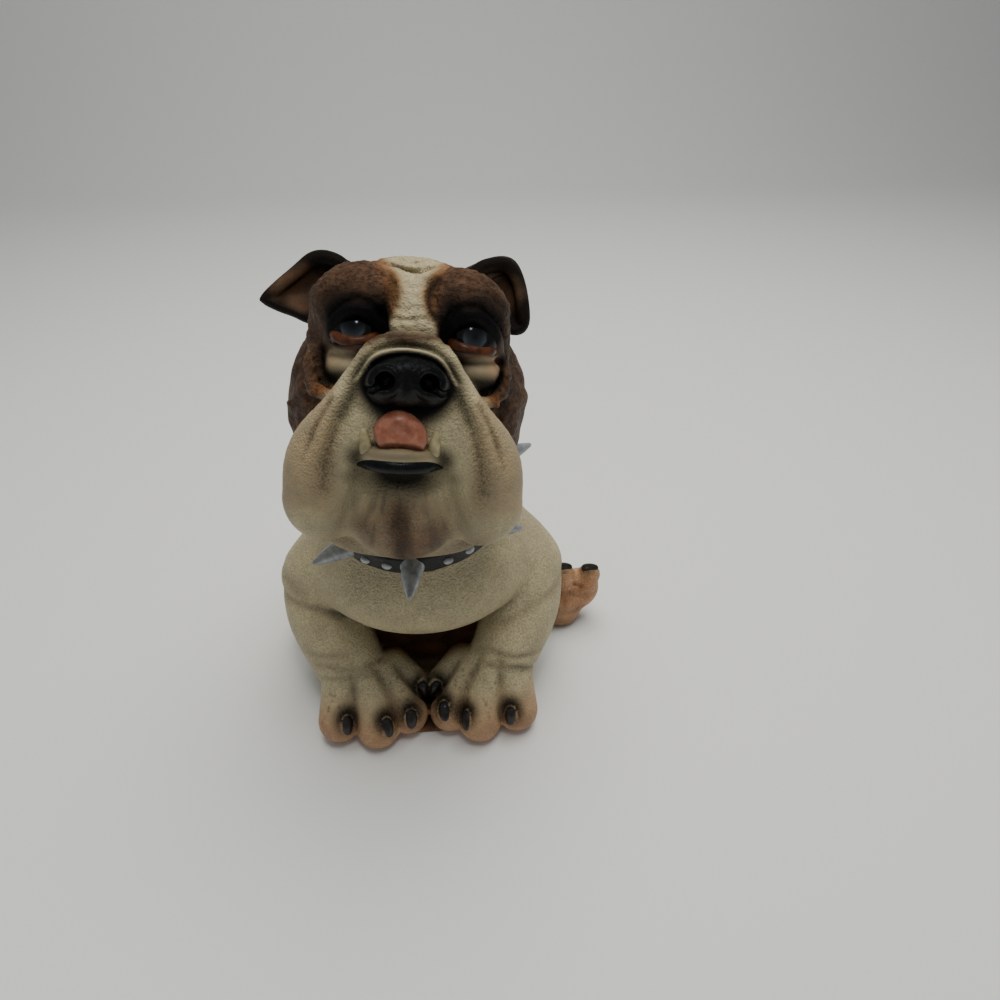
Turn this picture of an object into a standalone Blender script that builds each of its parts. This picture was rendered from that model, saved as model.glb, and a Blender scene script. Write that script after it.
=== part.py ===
"""Bulldog figurine: a seated bulldog with a big lifted head, cast in one piece with its spiked collar.

The figure rests on its flat underside at the origin, faces -Y and has its right paw at -X.
Its masses are balls and tapered limbs that melt into one another like clay, given in figure
units of a two hundredth of the height, so a figure 200 mm tall has units of one millimetre.
"""
import bmesh
import bpy
import numpy as np
from mathutils import Matrix, Vector

HEIGHT = 0.200            # crown of the head above the underside
TRIANGLES = 6700          # what the clay is thinned to

COLLAR_WIDTH = 0.0100
COLLAR_THICKNESS = 0.0050
COLLAR_SEAT = 0.0025      # how deep the back of the band is sunk in the neck
SPIKE_LENGTH = 0.0190     # from the middle of the collar's band to the tip
SPIKE_RADIUS = 0.0046
SPIKE_TIP_RADIUS = 0.0007
STUD_RADIUS = 0.0022
STUD_HEIGHT = 0.0012      # how far a stud stands off the band
FANG_LENGTH = 0.0095
FANG_RADIUS = 0.0026
CLAW_LENGTH = 0.0095
CLAW_RADIUS = 0.0032

UNIT = HEIGHT / 200
FAR = 90.0                # depth of a point that no shape comes near, in figure units
VOXEL = 1.6               # grain of the clay before it is thinned, in figure units
SIDES = (-1, 1)


def turned(x=0, y=0, z=0):
    """Rotation by degrees about X, then Y, then Z."""
    turn = Matrix.Rotation(np.radians(z), 3, "Z") @ Matrix.Rotation(np.radians(y), 3, "Y")
    return np.array(turn @ Matrix.Rotation(np.radians(x), 3, "X"))


HEAD_AT = np.array([0.4, -21.0, 151.0])
HEAD_TURN = turned(z=1.9) @ turned(x=-28.3) @ turned(y=5.9)
COLLAR_AT = np.array([0.0, -6.0, 99.5])
COLLAR_TURN = turned(x=14, y=-4)
NECK_RADIUS = 33.0
COLLAR_RADIUS = 37.0      # to the middle of the band, where the spikes have their roots
SPIKES = ((-99, 33), (-48, 18), (-4, 8), (52, 30), (112, 0), (160, 0), (-150, 0))
STUD_PAIR_SPREAD = 7      # degrees between a stud and its neighbour, each side of the middle


def smooth_min(a, b, melt):
    """The lower of two depths, rounded over where they differ by less than melt."""
    overlap = np.maximum(melt - np.abs(a - b), 0) / melt
    return np.minimum(a, b) - overlap**3 * melt / 6


def spline(points, per_span=6):
    """Rows of numbers read from a smooth curve through the given rows."""
    rows = np.asarray(points, float)
    rows = np.vstack([2 * rows[0] - rows[1], rows, 2 * rows[-1] - rows[-2]])
    t = np.linspace(0, 1, per_span, endpoint=False)[:, None]
    spans = []
    for a, b, c, d in zip(rows[:-3], rows[1:-2], rows[2:-1], rows[3:]):
        spans.append(0.5 * (2 * b + (c - a) * t + (2 * a - 5 * b + 4 * c - d) * t**2
                            + (3 * b - a - 3 * c + d) * t**3))
    return np.vstack(spans + [rows[-2:-1]])


def mirrored(points, side):
    """Points of the left half, carried to the given side."""
    return [(side * point[0], *point[1:]) for point in points]


class Ball:
    """An ellipsoid."""

    def __init__(self, centre, radii, turn=None):
        self.centre = np.asarray(centre, float)
        self.radii = np.ones(3) * radii
        self.turn = np.eye(3) if turn is None else turn
        reach = np.abs(self.turn) @ self.radii
        self.low, self.high = self.centre - reach, self.centre + reach

    def depth(self, points):
        local = (points - self.centre) @ self.turn
        outward = np.linalg.norm(local / self.radii, axis=1)
        slope = np.linalg.norm(local / self.radii**2, axis=1) + 1e-9
        return outward * (outward - 1) / slope

    def rough(self, mesh, frame):
        place = Matrix.Translation(self.centre) @ Matrix(self.turn).to_4x4() @ Matrix.Diagonal((*self.radii, 1))
        bmesh.ops.create_icosphere(mesh, subdivisions=3, radius=1, matrix=frame @ place)


class Limb:
    """A tube through a chain of points, with a radius at each."""

    def __init__(self, path, radii):
        self.path = np.asarray(path, float)
        self.radii = np.ones(len(self.path)) * radii
        self.low = (self.path - self.radii[:, None]).min(0)
        self.high = (self.path + self.radii[:, None]).max(0)

    def depth(self, points):
        best = np.full(len(points), FAR)
        for a, b, start, end in zip(self.path[:-1], self.path[1:], self.radii[:-1], self.radii[1:]):
            along = np.clip((points - a) @ (b - a) / ((b - a) @ (b - a)), 0, 1)
            gap = np.linalg.norm(points - a - along[:, None] * (b - a), axis=1)
            best = np.minimum(best, gap - start - (end - start) * along)
        return best

    def rough(self, mesh, frame):
        for centre, radius in zip(self.path, self.radii):
            place = frame @ Matrix.Translation(centre)
            bmesh.ops.create_icosphere(mesh, subdivisions=2, radius=radius, matrix=place)


def bent_limb(points, radii, per_span=6):
    """A limb along a smooth curve through the points, its radius running smoothly too."""
    rows = spline(np.column_stack([np.asarray(points, float), np.ones(len(points)) * radii]), per_span)
    return Limb(rows[:, :3], rows[:, 3])


class Flap:
    """A thick sheet with an outline in X and Z, dished towards +Y inside its rim."""

    def __init__(self, outline, plane, dish, thick, rim=3.0):
        self.outline = np.asarray(outline, float)
        self.plane, self.dish, self.thick, self.rim = plane, dish, thick, rim
        self.half_size = np.abs(self.outline - self.outline.mean(0)).max()
        across = plane(self.outline[:, 0], self.outline[:, 1])
        (low_x, low_z), (high_x, high_z) = self.outline.min(0), self.outline.max(0)
        self.low = np.array([low_x, across.min() - thick, low_z])
        self.high = np.array([high_x, across.max() + dish + thick, high_z])

    def inset(self, flat):
        """Distance to the outline, negative inside it."""
        best = np.full(len(flat), FAR)
        inside = np.zeros(len(flat), bool)
        for a, b in zip(self.outline, np.roll(self.outline, -1, axis=0)):
            along = np.clip((flat - a) @ (b - a) / ((b - a) @ (b - a)), 0, 1)
            best = np.minimum(best, np.linalg.norm(flat - a - along[:, None] * (b - a), axis=1))
            rise = b[1] - a[1] if b[1] != a[1] else 1.0
            crossing = a[0] + (flat[:, 1] - a[1]) / rise * (b[0] - a[0])
            inside ^= ((a[1] > flat[:, 1]) != (b[1] > flat[:, 1])) & (flat[:, 0] < crossing)
        return np.where(inside, -best, best)

    def depth(self, points):
        edge = self.inset(points[:, [0, 2]]) + self.rim
        inward = np.clip(-edge / self.half_size, 0, 1)
        middle = self.plane(points[:, 0], points[:, 2]) + self.dish * inward * (2 - inward)
        sheet = np.abs(points[:, 1] - middle) - self.thick + self.rim
        outside = np.hypot(np.maximum(edge, 0), np.maximum(sheet, 0))
        return outside + np.minimum(np.maximum(edge, sheet), 0) - self.rim

    def rough(self, mesh, frame):
        corners = [(x, self.plane(x, z) + self.dish / 2, z) for x, z in self.outline]
        face = mesh.faces.new([mesh.verts.new(frame @ Vector(corner)) for corner in corners])
        shift = frame.to_3x3() @ Vector((0, self.thick, 0))
        bmesh.ops.translate(mesh, verts=face.verts, vec=-shift)
        wall = bmesh.ops.extrude_face_region(mesh, geom=[face], use_keep_orig=True)
        moved = [item for item in wall["geom"] if isinstance(item, bmesh.types.BMVert)]
        bmesh.ops.translate(mesh, verts=moved, vec=2 * shift)


class Groove:
    """A line pressed into the face as seen along Y, or raised where its depth is negative."""

    def __init__(self, points, deep, width, ends=0.0):
        self.path = spline(points)
        self.deep, self.width, self.ends = deep, width, ends

    def press(self, points, depth):
        near = np.where((points[:, 1] < 0) & (np.abs(depth) < 12))[0]
        flat = points[near][:, [0, 2]]
        steps = np.linalg.norm(np.diff(self.path, axis=0), axis=1)
        runs = np.concatenate([[0], np.cumsum(steps)]) / steps.sum()
        best = np.full(len(near), FAR)
        share = np.zeros(len(near))
        for a, b, start, end in zip(self.path[:-1], self.path[1:], runs[:-1], runs[1:]):
            along = np.clip((flat - a) @ (b - a) / ((b - a) @ (b - a)), 0, 1)
            gap = np.linalg.norm(flat - a - along[:, None] * (b - a), axis=1)
            share = np.where(gap < best, start + (end - start) * along, share)
            best = np.minimum(best, gap)
        swell = self.ends + (1 - self.ends) * np.abs(np.sin(np.pi * share)) ** 0.7
        depth[near] += self.deep * swell * np.exp(-(best / self.width) ** 2)


class Clay:
    """Shapes added to and cut from one another in turn, in a frame of their own."""

    def __init__(self, at=(0, 0, 0), turn=None):
        self.at = np.asarray(at, float)
        self.turn = np.eye(3) if turn is None else turn
        self.steps = []

    def add(self, shape, melt=1.0):
        self.steps.append(("add", shape, melt))

    def cut(self, shape, melt=1.0):
        self.steps.append(("cut", shape, melt))

    def join(self, clay, melt=1.0):
        self.steps.append(("join", clay, melt))

    def press(self, groove):
        self.steps.append(("press", groove, 0.0))

    def depth(self, points, band=5.0):
        """Depth of each point below the surface as a negative number, true near the surface."""
        local = (points - self.at) @ self.turn
        depth = np.full(len(local), FAR)
        for number, (kind, shape, melt) in enumerate(self.steps):
            margin = band + max(step[2] for step in self.steps[number:])
            if kind == "join":
                depth = smooth_min(depth, shape.depth(local, margin), melt)
                continue
            if kind == "press":
                shape.press(local, depth)
                continue
            near = np.where(((local > shape.low - margin) & (local < shape.high + margin)).all(1))[0]
            value = shape.depth(local[near])
            if kind == "add":
                depth[near] = smooth_min(depth[near], value, melt)
            else:
                depth[near] = -smooth_min(-depth[near], value, melt)
        return depth

    def rough(self, mesh, frame):
        """Add every shape that builds the clay up, as plain spheres and slabs."""
        here = frame @ Matrix.Translation(self.at) @ Matrix(self.turn).to_4x4()
        for kind, shape, _ in self.steps:
            if kind in ("add", "join"):
                shape.rough(mesh, here)


def collar_point(angle, radius, up=0.0):
    """A point beside the collar's axis: angle 0 is at the throat, up runs along the axis."""
    turn = np.radians(angle)
    return COLLAR_AT + COLLAR_TURN @ np.array([radius * np.sin(turn), -radius * np.cos(turn), up])


def trunk(clay):
    clay.add(Ball((0, 10, 72), (42, 43, 36)))
    clay.add(Ball((0, 34, 58), (45, 44, 44)), 26)
    clay.add(Ball((0, 46, 26), (50, 34, 34)), 26)
    neck = [collar_point(0, 0, up) for up in (-26, 0, 30)]
    clay.add(Limb(neck, [NECK_RADIUS + 3, NECK_RADIUS, NECK_RADIUS - 1]), 18)
    for up, radius, reach in ((14, 8.5, 62), (27, 9, 78)):
        nape = [collar_point(angle, NECK_RADIUS - 4, up) for angle in range(180 - reach, 181 + reach, 20)]
        clay.add(Limb(nape, radius), 8)
    for side in SIDES:
        clay.add(Ball((side * 43, 2, 51.5), (20, 24, 23), turned(y=-side * 8)), 18)
    clay.add(Ball((0, -10, 63), (47, 36, 27)), 12)
    clay.add(Limb([(0, 76, 26), (0, 84, 33), (4, 84, 39)], [8, 6.5, 4.5]), 6)


TOES = (
    ((34, -44, 14), (37, -52, 9), 10.0, 10.0),
    ((24, -45, 15), (19.5, -56, 8.5), 9.5, 9.8),
    ((15, -41, 14), (8.8, -51, 9), 9.0, 8.8),
)
THUMB = ((16, -31, 19), (3.5, -40, 15), 9.0, 5.5)


def fore_leg(clay, side):
    arm = mirrored([(47, -2, 52), (45, -15, 38), (35.5, -31, 24)], side)
    clay.add(bent_limb(arm, [18.5, 17.5, 15.5]), 4)
    clay.add(Ball((side * 26, -38, 13), (20, 20, 15)), 8)
    for root, tip, start, end in (*TOES, THUMB):
        clay.add(Limb(mirrored([root, tip], side), [start, end]), 3.5)


HIND_FEET = {-1: 56, 1: 76}
HIND_TOES = ((-5.5, 26, -6.5, 34), (5.5, 24, 7, 32.5))


def hind_leg(clay, side):
    out = HIND_FEET[side]
    clay.add(Ball((side * 40, 34, 25), (24, 30, 28)), 14)
    clay.add(Limb([(side * 46, 26, 18), (side * (out - 8), 16, 10)], [15, 12]), 8)
    clay.add(Ball((side * (out - 6), 12, 8), (10, 9, 10)), 5)
    clay.add(Ball((side * (out + 1), 14, 20), (12, 8, 13), turned(y=side * 15)), 5)
    for root_out, root_up, tip_out, tip_up in HIND_TOES:
        toe = [(side * (out + root_out), 14, root_up), (side * (out + tip_out), 12.5, tip_up)]
        clay.add(Limb(toe, 5.5), 3)


def belly(clay):
    """The belly behind the forelegs, and the web of casting that joins the paws underneath."""
    clay.add(Ball((0, 4, 22), (36, 24, 30)), 12)
    clay.add(Ball((0, -28, 1), (30, 31, 7)), 5)


def skull(clay):
    clay.add(Ball((0, 12, 24), (36, 38, 29.5)))
    clay.add(Ball((0, 8, 2), (36, 34, 32)), 18)
    clay.add(Ball((0, 2, -24), (29, 26, 24)), 14)
    for side in SIDES:
        clay.add(Ball((side * 33, 9, 0), (12, 17, 24)), 6)
        clay.add(Ball((side * 24, 2, -26), (14, 16, 17)), 8)
        clay.add(Ball((side * 21, -9.5, 35.5), (14.5, 12, 11), turned(y=side * 28)), 8)


def muzzle():
    clay = Clay()
    clay.add(Ball((0, -18, -8), (25, 20, 22)))
    for side in SIDES:
        clay.add(Ball((side * 10, -26, -7), (13, 11.5, 12)), 6)
        jowl = mirrored([(7, -29, 8), (15, -27, -4), (25, -20, -20), (26.5, -15, -34.5)], side)
        clay.add(bent_limb(jowl, [9, 11, 15, 16]), 6)
    clay.add(Ball((0, -14, -37), (21, 18, 19.5)), 5)
    return clay


EYE_DRIFT = 1.7           # the eyes look a little to the figure's left


def eye(clay, side):
    """Socket, pouch, eyeball and both lids."""
    def at(points):
        return [(side * x + EYE_DRIFT, y, z) for x, y, z in points]
    clay.cut(Ball((side * 20 + EYE_DRIFT, -25, 22), (12, 11, 11)), 4)
    clay.add(Ball((side * 20.3 + EYE_DRIFT, -14.5, 11), (10.5, 8.5, 6.5), turned(y=-side * 10)), 2)
    clay.add(Ball((side * 19.8 + EYE_DRIFT, -12, 22.5), 10.3), 0.8)
    upper = [(30, -11, 18), (27, -17, 27), (19.5, -20.5, 32), (12.5, -18.5, 28), (10, -15, 21)]
    clay.add(bent_limb(at(upper), 2.5), 2)
    lower = [(29, -13, 17), (24, -20, 14.5), (18, -22, 14.5), (12, -20, 17.5)]
    clay.add(bent_limb(at(lower), 1.3), 1)


def nose(clay):
    """The roll of skin over the nose, then the nose and its nostrils."""
    roll = [(23, -26, -8), (16.5, -30, 6), (10, -32, 16)]
    arch = mirrored(roll, -1) + [(0, -33, 19)] + roll[::-1]
    clay.add(bent_limb(arch, [3, 4.2, 4, 3.8, 4, 4.2, 3]), 2.5)
    clay.add(Ball((0, -35.5, 6.0), (12.8, 8.5, 8.6)), 1)
    for side in SIDES:
        clay.add(Ball((side * 7, -37, 4.5), (6.2, 7.5, 6.5)), 1)
        clay.cut(Ball((side * 7, -45.5, 6), (3.2, 4, 2.8)), 1.5)


MOUTH_DRIFT = -1.5        # the mouth sits a little to the figure's right
FANG_ROOT = (11.3, -34.5, -16.0)
FANG_LEAN = (0.5, -3.0, 8.0)


def mouth(clay):
    """The hollow of the mouth, the lower lip and the tongue licking upwards."""
    clay.cut(Ball((MOUTH_DRIFT, -41, -12), (15, 6, 6)), 3)
    lip = [(13.5, -31, -20.8), (6.5, -36, -19.7), (0, -37.5, -19.3)]
    lip = mirrored(lip, -1) + lip[-2::-1]
    lip = [(x + MOUTH_DRIFT, y, z) for x, y, z in lip]
    clay.add(bent_limb(lip, [3, 4, 4.3, 4, 3]), 1.5)
    clay.add(Ball((MOUTH_DRIFT, -38.3, -8.3), (8.3, 3.2, 6.6), turned(x=-10)), 0.6)


def creases(clay):
    """Grooves and welts pressed into the face."""
    clay.press(Groove([(-17, -14.5), (-9, -14.8), (-1.5, -15), (6, -14.8), (14, -14.5)], 1.5, 0.9))
    clay.press(Groove([(0, -30), (0.5, -52)], 0.8, 2.5))
    for side in SIDES:
        clay.press(Groove(mirrored([(15, 10), (21, -6), (26, -20), (28, -30)], side), 2.2, 2.3))
        clay.press(Groove(mirrored([(25, -1), (30, -10), (34, -20)], side), 1.8, 1.3))
        clay.press(Groove(mirrored([(19.5, 11), (24.5, 0), (30.5, -14)], side), -1.2, 2.2))
        clay.press(Groove(mirrored([(15.5, -22), (16.5, -30), (20, -42), (23, -52)], side), 2.2, 2.6))
        clay.press(Groove(mirrored([(9.7, 43), (6.2, 36), (9, 27)], side), 2.0, 2.2))
        clay.press(Groove(mirrored([(9, 49), (3, 46), (0, 45)], side), 0.8, 1.0, ends=0.5))


def ears():
    """The right ear sticks out to the side, the left one folds down at its tip."""
    clay = Clay()
    out = [(-24, 53), (-38, 55.5), (-48, 47), (-58, 36), (-57, 32.5), (-47, 28.5), (-34, 27)]
    clay.add(Flap(out, lambda x, z: 14 + 0.1 * (z - 40) + 0.1 * (x + 40), 6, 3.5))
    folded = [(15, 55), (31, 59), (39.5, 57.5), (44.5, 47), (46.5, 31), (39, 26.5), (24, 34)]
    clay.add(Flap(folded, lambda x, z: 14 + 0.1 * (z - 40), 6, 3.5))
    return clay


def figure():
    """The whole dog but for its collar, fangs and claws."""
    head = Clay(HEAD_AT, HEAD_TURN)
    skull(head)
    head.join(muzzle(), 4)
    for side in SIDES:
        eye(head, side)
    nose(head)
    mouth(head)
    creases(head)
    head.join(ears(), 3)
    dog = Clay()
    trunk(dog)
    for side in SIDES:
        fore_leg(dog, side)
    for side in SIDES:
        hind_leg(dog, side)
    belly(dog)
    dog.join(head, 5)
    return dog


def new_object(name, mesh, collection):
    thing = bpy.data.objects.new(name, mesh)
    collection.objects.link(thing)
    return thing


def from_bmesh(name, shape, collection):
    mesh = bpy.data.meshes.new(name)
    shape.to_mesh(mesh)
    shape.free()
    return new_object(name, mesh, collection)


def evaluated(thing):
    """The object's mesh with its modifiers worked out, in place of the plain one."""
    bpy.context.view_layer.update()
    mesh = bpy.data.meshes.new_from_object(thing.evaluated_get(bpy.context.evaluated_depsgraph_get()))
    thing.modifiers.clear()
    thing.data = mesh
    return mesh


def neighbour_mean(points, edges):
    """The mean place of the vertices that each vertex is joined to."""
    ends = np.concatenate([edges[:, 0], edges[:, 1]])
    others = points[np.concatenate([edges[:, 1], edges[:, 0]])]
    counts = np.bincount(ends, minlength=len(points))
    sums = [np.bincount(ends, weights=others[:, axis], minlength=len(points)) for axis in range(3)]
    return np.column_stack(sums) / counts[:, None]


def settle(thing, clay, rounds):
    """Move the rough mesh along the clay's slope onto its surface, and even it out along the surface."""
    mesh = thing.data
    places = np.empty(len(mesh.vertices) * 3, np.float32)
    mesh.vertices.foreach_get("co", places)
    points = places.reshape(-1, 3).astype(float)
    edges = np.empty(len(mesh.edges) * 2, np.int32)
    mesh.edges.foreach_get("vertices", edges)
    edges = edges.reshape(-1, 2)
    probe = 0.3
    for _ in range(rounds):
        depth = clay.depth(points)
        slope = np.column_stack([clay.depth(points + step) - depth for step in probe * np.eye(3)]) / probe
        size = np.maximum(np.linalg.norm(slope, axis=1), 0.3)
        outward = slope / size[:, None]
        drift = neighbour_mean(points, edges) - points
        drift -= outward * (drift * outward).sum(1)[:, None]
        points += 0.5 * drift - outward * np.clip(depth / size, -1.5, 1.5)[:, None]
    mesh.vertices.foreach_set("co", points.astype(np.float32).ravel())
    mesh.update()


def remesh(thing, voxel):
    grid = thing.modifiers.new("Remesh", "REMESH")
    grid.mode = "VOXEL"
    grid.voxel_size = voxel
    evaluated(thing)


def modelled_figure(collection):
    """The dog in figure units: rough spheres and slabs, made one skin, settled and thinned."""
    clay = figure()
    shape = bmesh.new()
    clay.rough(shape, Matrix.Identity(4))
    bmesh.ops.recalc_face_normals(shape, faces=shape.faces)
    dog = from_bmesh("bulldog", shape, collection)
    for voxel, rounds in ((2 * VOXEL, 4), (VOXEL, 4)):
        remesh(dog, voxel)
        settle(dog, clay, rounds)
    faces = sum(len(polygon.vertices) - 2 for polygon in dog.data.polygons)
    thin = dog.modifiers.new("Thin", "DECIMATE")
    thin.ratio = TRIANGLES / faces
    evaluated(dog)
    return dog


def cone(shape, base, tip, radius, tip_radius, sides):
    """A cone from base to tip, in metres."""
    axis = Vector(tip) - Vector(base)
    middle = Matrix.Translation((Vector(base) + Vector(tip)) / 2)
    bmesh.ops.create_cone(shape, cap_ends=True, segments=sides, radius1=radius, radius2=tip_radius,
                          depth=axis.length, matrix=middle @ axis.to_track_quat("Z", "Y").to_matrix().to_4x4())


def spike(shape, angle, lift):
    base = collar_point(angle, COLLAR_RADIUS) * UNIT
    outward = (collar_point(angle, 1) - COLLAR_AT) * np.cos(np.radians(lift))
    outward += COLLAR_TURN[:, 2] * np.sin(np.radians(lift))
    cone(shape, base, base + outward * SPIKE_LENGTH, SPIKE_RADIUS, SPIKE_TIP_RADIUS, 14)


def stud_angles():
    """A pair of studs in each gap between two spikes, each side of its middle."""
    spikes = sorted(angle for angle, _ in SPIKES)
    for start, end in zip(spikes, spikes[1:] + [spikes[0] + 360]):
        for side in SIDES:
            yield (start + end) / 2 + side * STUD_PAIR_SPREAD


def stud(shape, angle):
    outer = COLLAR_RADIUS * UNIT + COLLAR_THICKNESS / 2
    centre = COLLAR_AT * UNIT + (collar_point(angle, 1) - COLLAR_AT) * outer
    facing = Matrix.Rotation(np.radians(angle), 4, "Z")
    flat = Matrix.Diagonal((STUD_RADIUS, STUD_HEIGHT, STUD_RADIUS, 1))
    place = Matrix.Translation(centre) @ Matrix(COLLAR_TURN).to_4x4() @ facing @ flat
    bmesh.ops.create_icosphere(shape, subdivisions=1, radius=1, matrix=place)


def fittings(collection):
    """The collar's spikes and studs, apart from one another."""
    shape = bmesh.new()
    for angle, lift in SPIKES:
        spike(shape, angle, lift)
    for angle in stud_angles():
        stud(shape, angle)
    return from_bmesh("spikes_and_studs", shape, collection)


def collar(collection):
    """The band: a rectangle turned about the neck, with its back sunk in it."""
    outer, inner = COLLAR_RADIUS * UNIT + COLLAR_THICKNESS / 2, NECK_RADIUS * UNIT - COLLAR_SEAT
    rise = COLLAR_WIDTH / 2
    corners = [(outer, 0, rise), (outer, 0, -rise), (inner, 0, -rise), (inner, 0, rise)]
    edges = [(0, 1), (1, 2), (2, 3), (3, 0)]
    mesh = bpy.data.meshes.new("collar")
    mesh.from_pydata(corners, edges, [])
    band = new_object("collar", mesh, collection)
    turn = band.modifiers.new("Turn", "SCREW")
    turn.steps = turn.render_steps = 56
    turn.use_merge_vertices = True
    turn.merge_threshold = 0.00001
    evaluated(band)
    band.data.transform(Matrix.Translation(COLLAR_AT * UNIT) @ Matrix(COLLAR_TURN).to_4x4())
    return band


def fang(shape, side):
    """A lower canine that stands up in front of the lip."""
    root = np.array([side * FANG_ROOT[0] + MOUTH_DRIFT, *FANG_ROOT[1:]])
    lean = np.array([side * FANG_LEAN[0], *FANG_LEAN[1:]])
    base = (HEAD_AT + HEAD_TURN @ root) * UNIT
    tip = base + HEAD_TURN @ lean / np.linalg.norm(lean) * FANG_LENGTH
    cone(shape, base, tip, FANG_RADIUS, 0.25 * FANG_RADIUS, 10)


CLAW_RISE = 42            # degrees by which a foretoe's claw looks up from straight ahead


def claw(shape, middle, direction):
    """A blunt claw lying along its direction, half sunk in the toe."""
    facing = Vector(direction).to_track_quat("Z", "Y").to_matrix().to_4x4()
    stretch = Matrix.Diagonal((CLAW_RADIUS, CLAW_RADIUS, CLAW_LENGTH / 2, 1))
    place = Matrix.Translation(middle * UNIT) @ facing @ stretch
    bmesh.ops.create_icosphere(shape, subdivisions=2, radius=1, matrix=place)


def teeth_and_claws(collection):
    shape = bmesh.new()
    out = np.array([0, -np.cos(np.radians(CLAW_RISE)), np.sin(np.radians(CLAW_RISE))])
    along = (0, -out[2], out[1])
    for side in SIDES:
        fang(shape, side)
        for _, tip, _, radius in (*TOES, THUMB):
            claw(shape, np.array([side * tip[0], *tip[1:]]) + out * (radius - 1), along)
        for _, _, tip_out, tip_up in HIND_TOES:
            tip = np.array([side * (HIND_FEET[side] + tip_out), 10.0, tip_up + 3.5])
            claw(shape, tip, (0, -0.5, 1))
    return from_bmesh("teeth_and_claws", shape, collection)


def boolean(whole, tool, operation):
    change = whole.modifiers.new(tool.name, "BOOLEAN")
    change.operation = operation
    change.solver = "EXACT"
    change.object = tool


def painted_resin():
    """Cast resin with matt paint: the cream of the coat stands for the whole."""
    material = bpy.data.materials.new("painted_cast_resin")
    material.use_nodes = True
    shader = material.node_tree.nodes["Principled BSDF"]
    shader.inputs["Base Color"].default_value = (0.47, 0.41, 0.29, 1)
    shader.inputs["Roughness"].default_value = 0.62
    shader.inputs["Metallic"].default_value = 0.0
    return material


def floor_cutter(collection):
    """A block whose top is the plane that the figure rests on."""
    shape = bmesh.new()
    side = 3 * HEIGHT
    place = Matrix.Translation((0, 0, -side / 2)) @ Matrix.Diagonal((side, side, side, 1))
    bmesh.ops.create_cube(shape, size=1, matrix=place)
    return from_bmesh("floor_cutter", shape, collection)


def main():
    for thing in list(bpy.data.objects):
        bpy.data.objects.remove(thing)
    finished = bpy.data.collections.new("bulldog_figurine")
    tools = bpy.data.collections.new("cutters_and_welded_pieces")
    for collection in (finished, tools):
        bpy.context.scene.collection.children.link(collection)

    dog = modelled_figure(finished)
    dog.data.transform(Matrix.Scale(UNIT, 4))
    band = collar(tools)
    metalwork = fittings(tools)
    boolean(band, metalwork, "UNION")
    evaluated(band)
    hard_parts = teeth_and_claws(tools)
    floor = floor_cutter(tools)
    boolean(dog, band, "UNION")
    boolean(dog, hard_parts, "UNION")
    boolean(dog, floor, "DIFFERENCE")
    dog.modifiers.new("Triangles", "TRIANGULATE")
    dog.data.materials.clear()
    dog.data.materials.append(painted_resin())
    for tool in (band, metalwork, hard_parts, floor):
        tool.hide_render = True
        tool.display_type = "WIRE"


main()
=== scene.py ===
"""Bulldog figurine in hand-painted cast resin: its skin, ears, eyes, nose, tongue, fangs, claws and collar.

Shapes are in figure units of one millimetre until they become meshes, which are in metres.
"""

import bpy
import numpy as np
from mathutils import Matrix, Vector


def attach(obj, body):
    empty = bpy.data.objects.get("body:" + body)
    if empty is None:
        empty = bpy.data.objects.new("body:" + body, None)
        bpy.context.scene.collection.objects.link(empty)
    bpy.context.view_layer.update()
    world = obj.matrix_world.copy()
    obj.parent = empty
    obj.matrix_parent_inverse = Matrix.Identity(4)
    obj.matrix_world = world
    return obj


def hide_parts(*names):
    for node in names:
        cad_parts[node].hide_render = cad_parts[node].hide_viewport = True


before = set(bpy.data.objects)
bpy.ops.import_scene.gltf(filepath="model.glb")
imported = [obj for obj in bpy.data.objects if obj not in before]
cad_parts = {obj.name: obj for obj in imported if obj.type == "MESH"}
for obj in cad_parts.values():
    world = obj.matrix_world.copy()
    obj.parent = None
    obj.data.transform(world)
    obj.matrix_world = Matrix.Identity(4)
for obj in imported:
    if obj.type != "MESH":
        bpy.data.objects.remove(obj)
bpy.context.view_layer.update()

MM = 0.001
FAR = 90.0                # depth of a point that no shape comes near
SIDES = (-1, 1)

HEAD_GRAIN = 0.76         # edge of a mesh cell on the head, mm
BODY_GRAIN = 1.02
EAR_GRAIN = 0.55
NOSE_GRAIN = 0.42
TONGUE_GRAIN = 0.40


def turned(x=0, y=0, z=0):
    """Rotation by degrees about X, then Y, then Z."""
    turn = Matrix.Rotation(np.radians(z), 3, "Z") @ Matrix.Rotation(np.radians(y), 3, "Y")
    return np.array(turn @ Matrix.Rotation(np.radians(x), 3, "X"))


HEAD_AT = np.array([0.4, -21.0, 151.0])
HEAD_TURN = turned(z=1.9) @ turned(x=-28.3) @ turned(y=5.9)
COLLAR_AT = np.array([0.0, -6.0, 99.5])
COLLAR_TURN = turned(x=14, y=-4)
NECK_RADIUS = 33.0
COLLAR_RADIUS = 37.0
COLLAR_WIDTH = 10.0
COLLAR_THICKNESS = 5.0
SPIKES = ((-99, 33), (-48, 18), (-4, 8), (52, 30), (112, 0), (160, 0), (-150, 0))
STUD_PAIR_SPREAD = 7


# ---- numbers that run smoothly -------------------------------------------------------------------

def smooth(value, low, high):
    """0 below low, 1 above high, an even S between."""
    share = np.clip((value - low) / (high - low), 0, 1)
    return share * share * (3 - 2 * share)


def smooth_min(a, b, melt):
    """The lower of two depths, rounded over where they differ by less than melt."""
    overlap = np.maximum(melt - np.abs(a - b), 0) / melt
    return np.minimum(a, b) - overlap**3 * melt / 6


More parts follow.
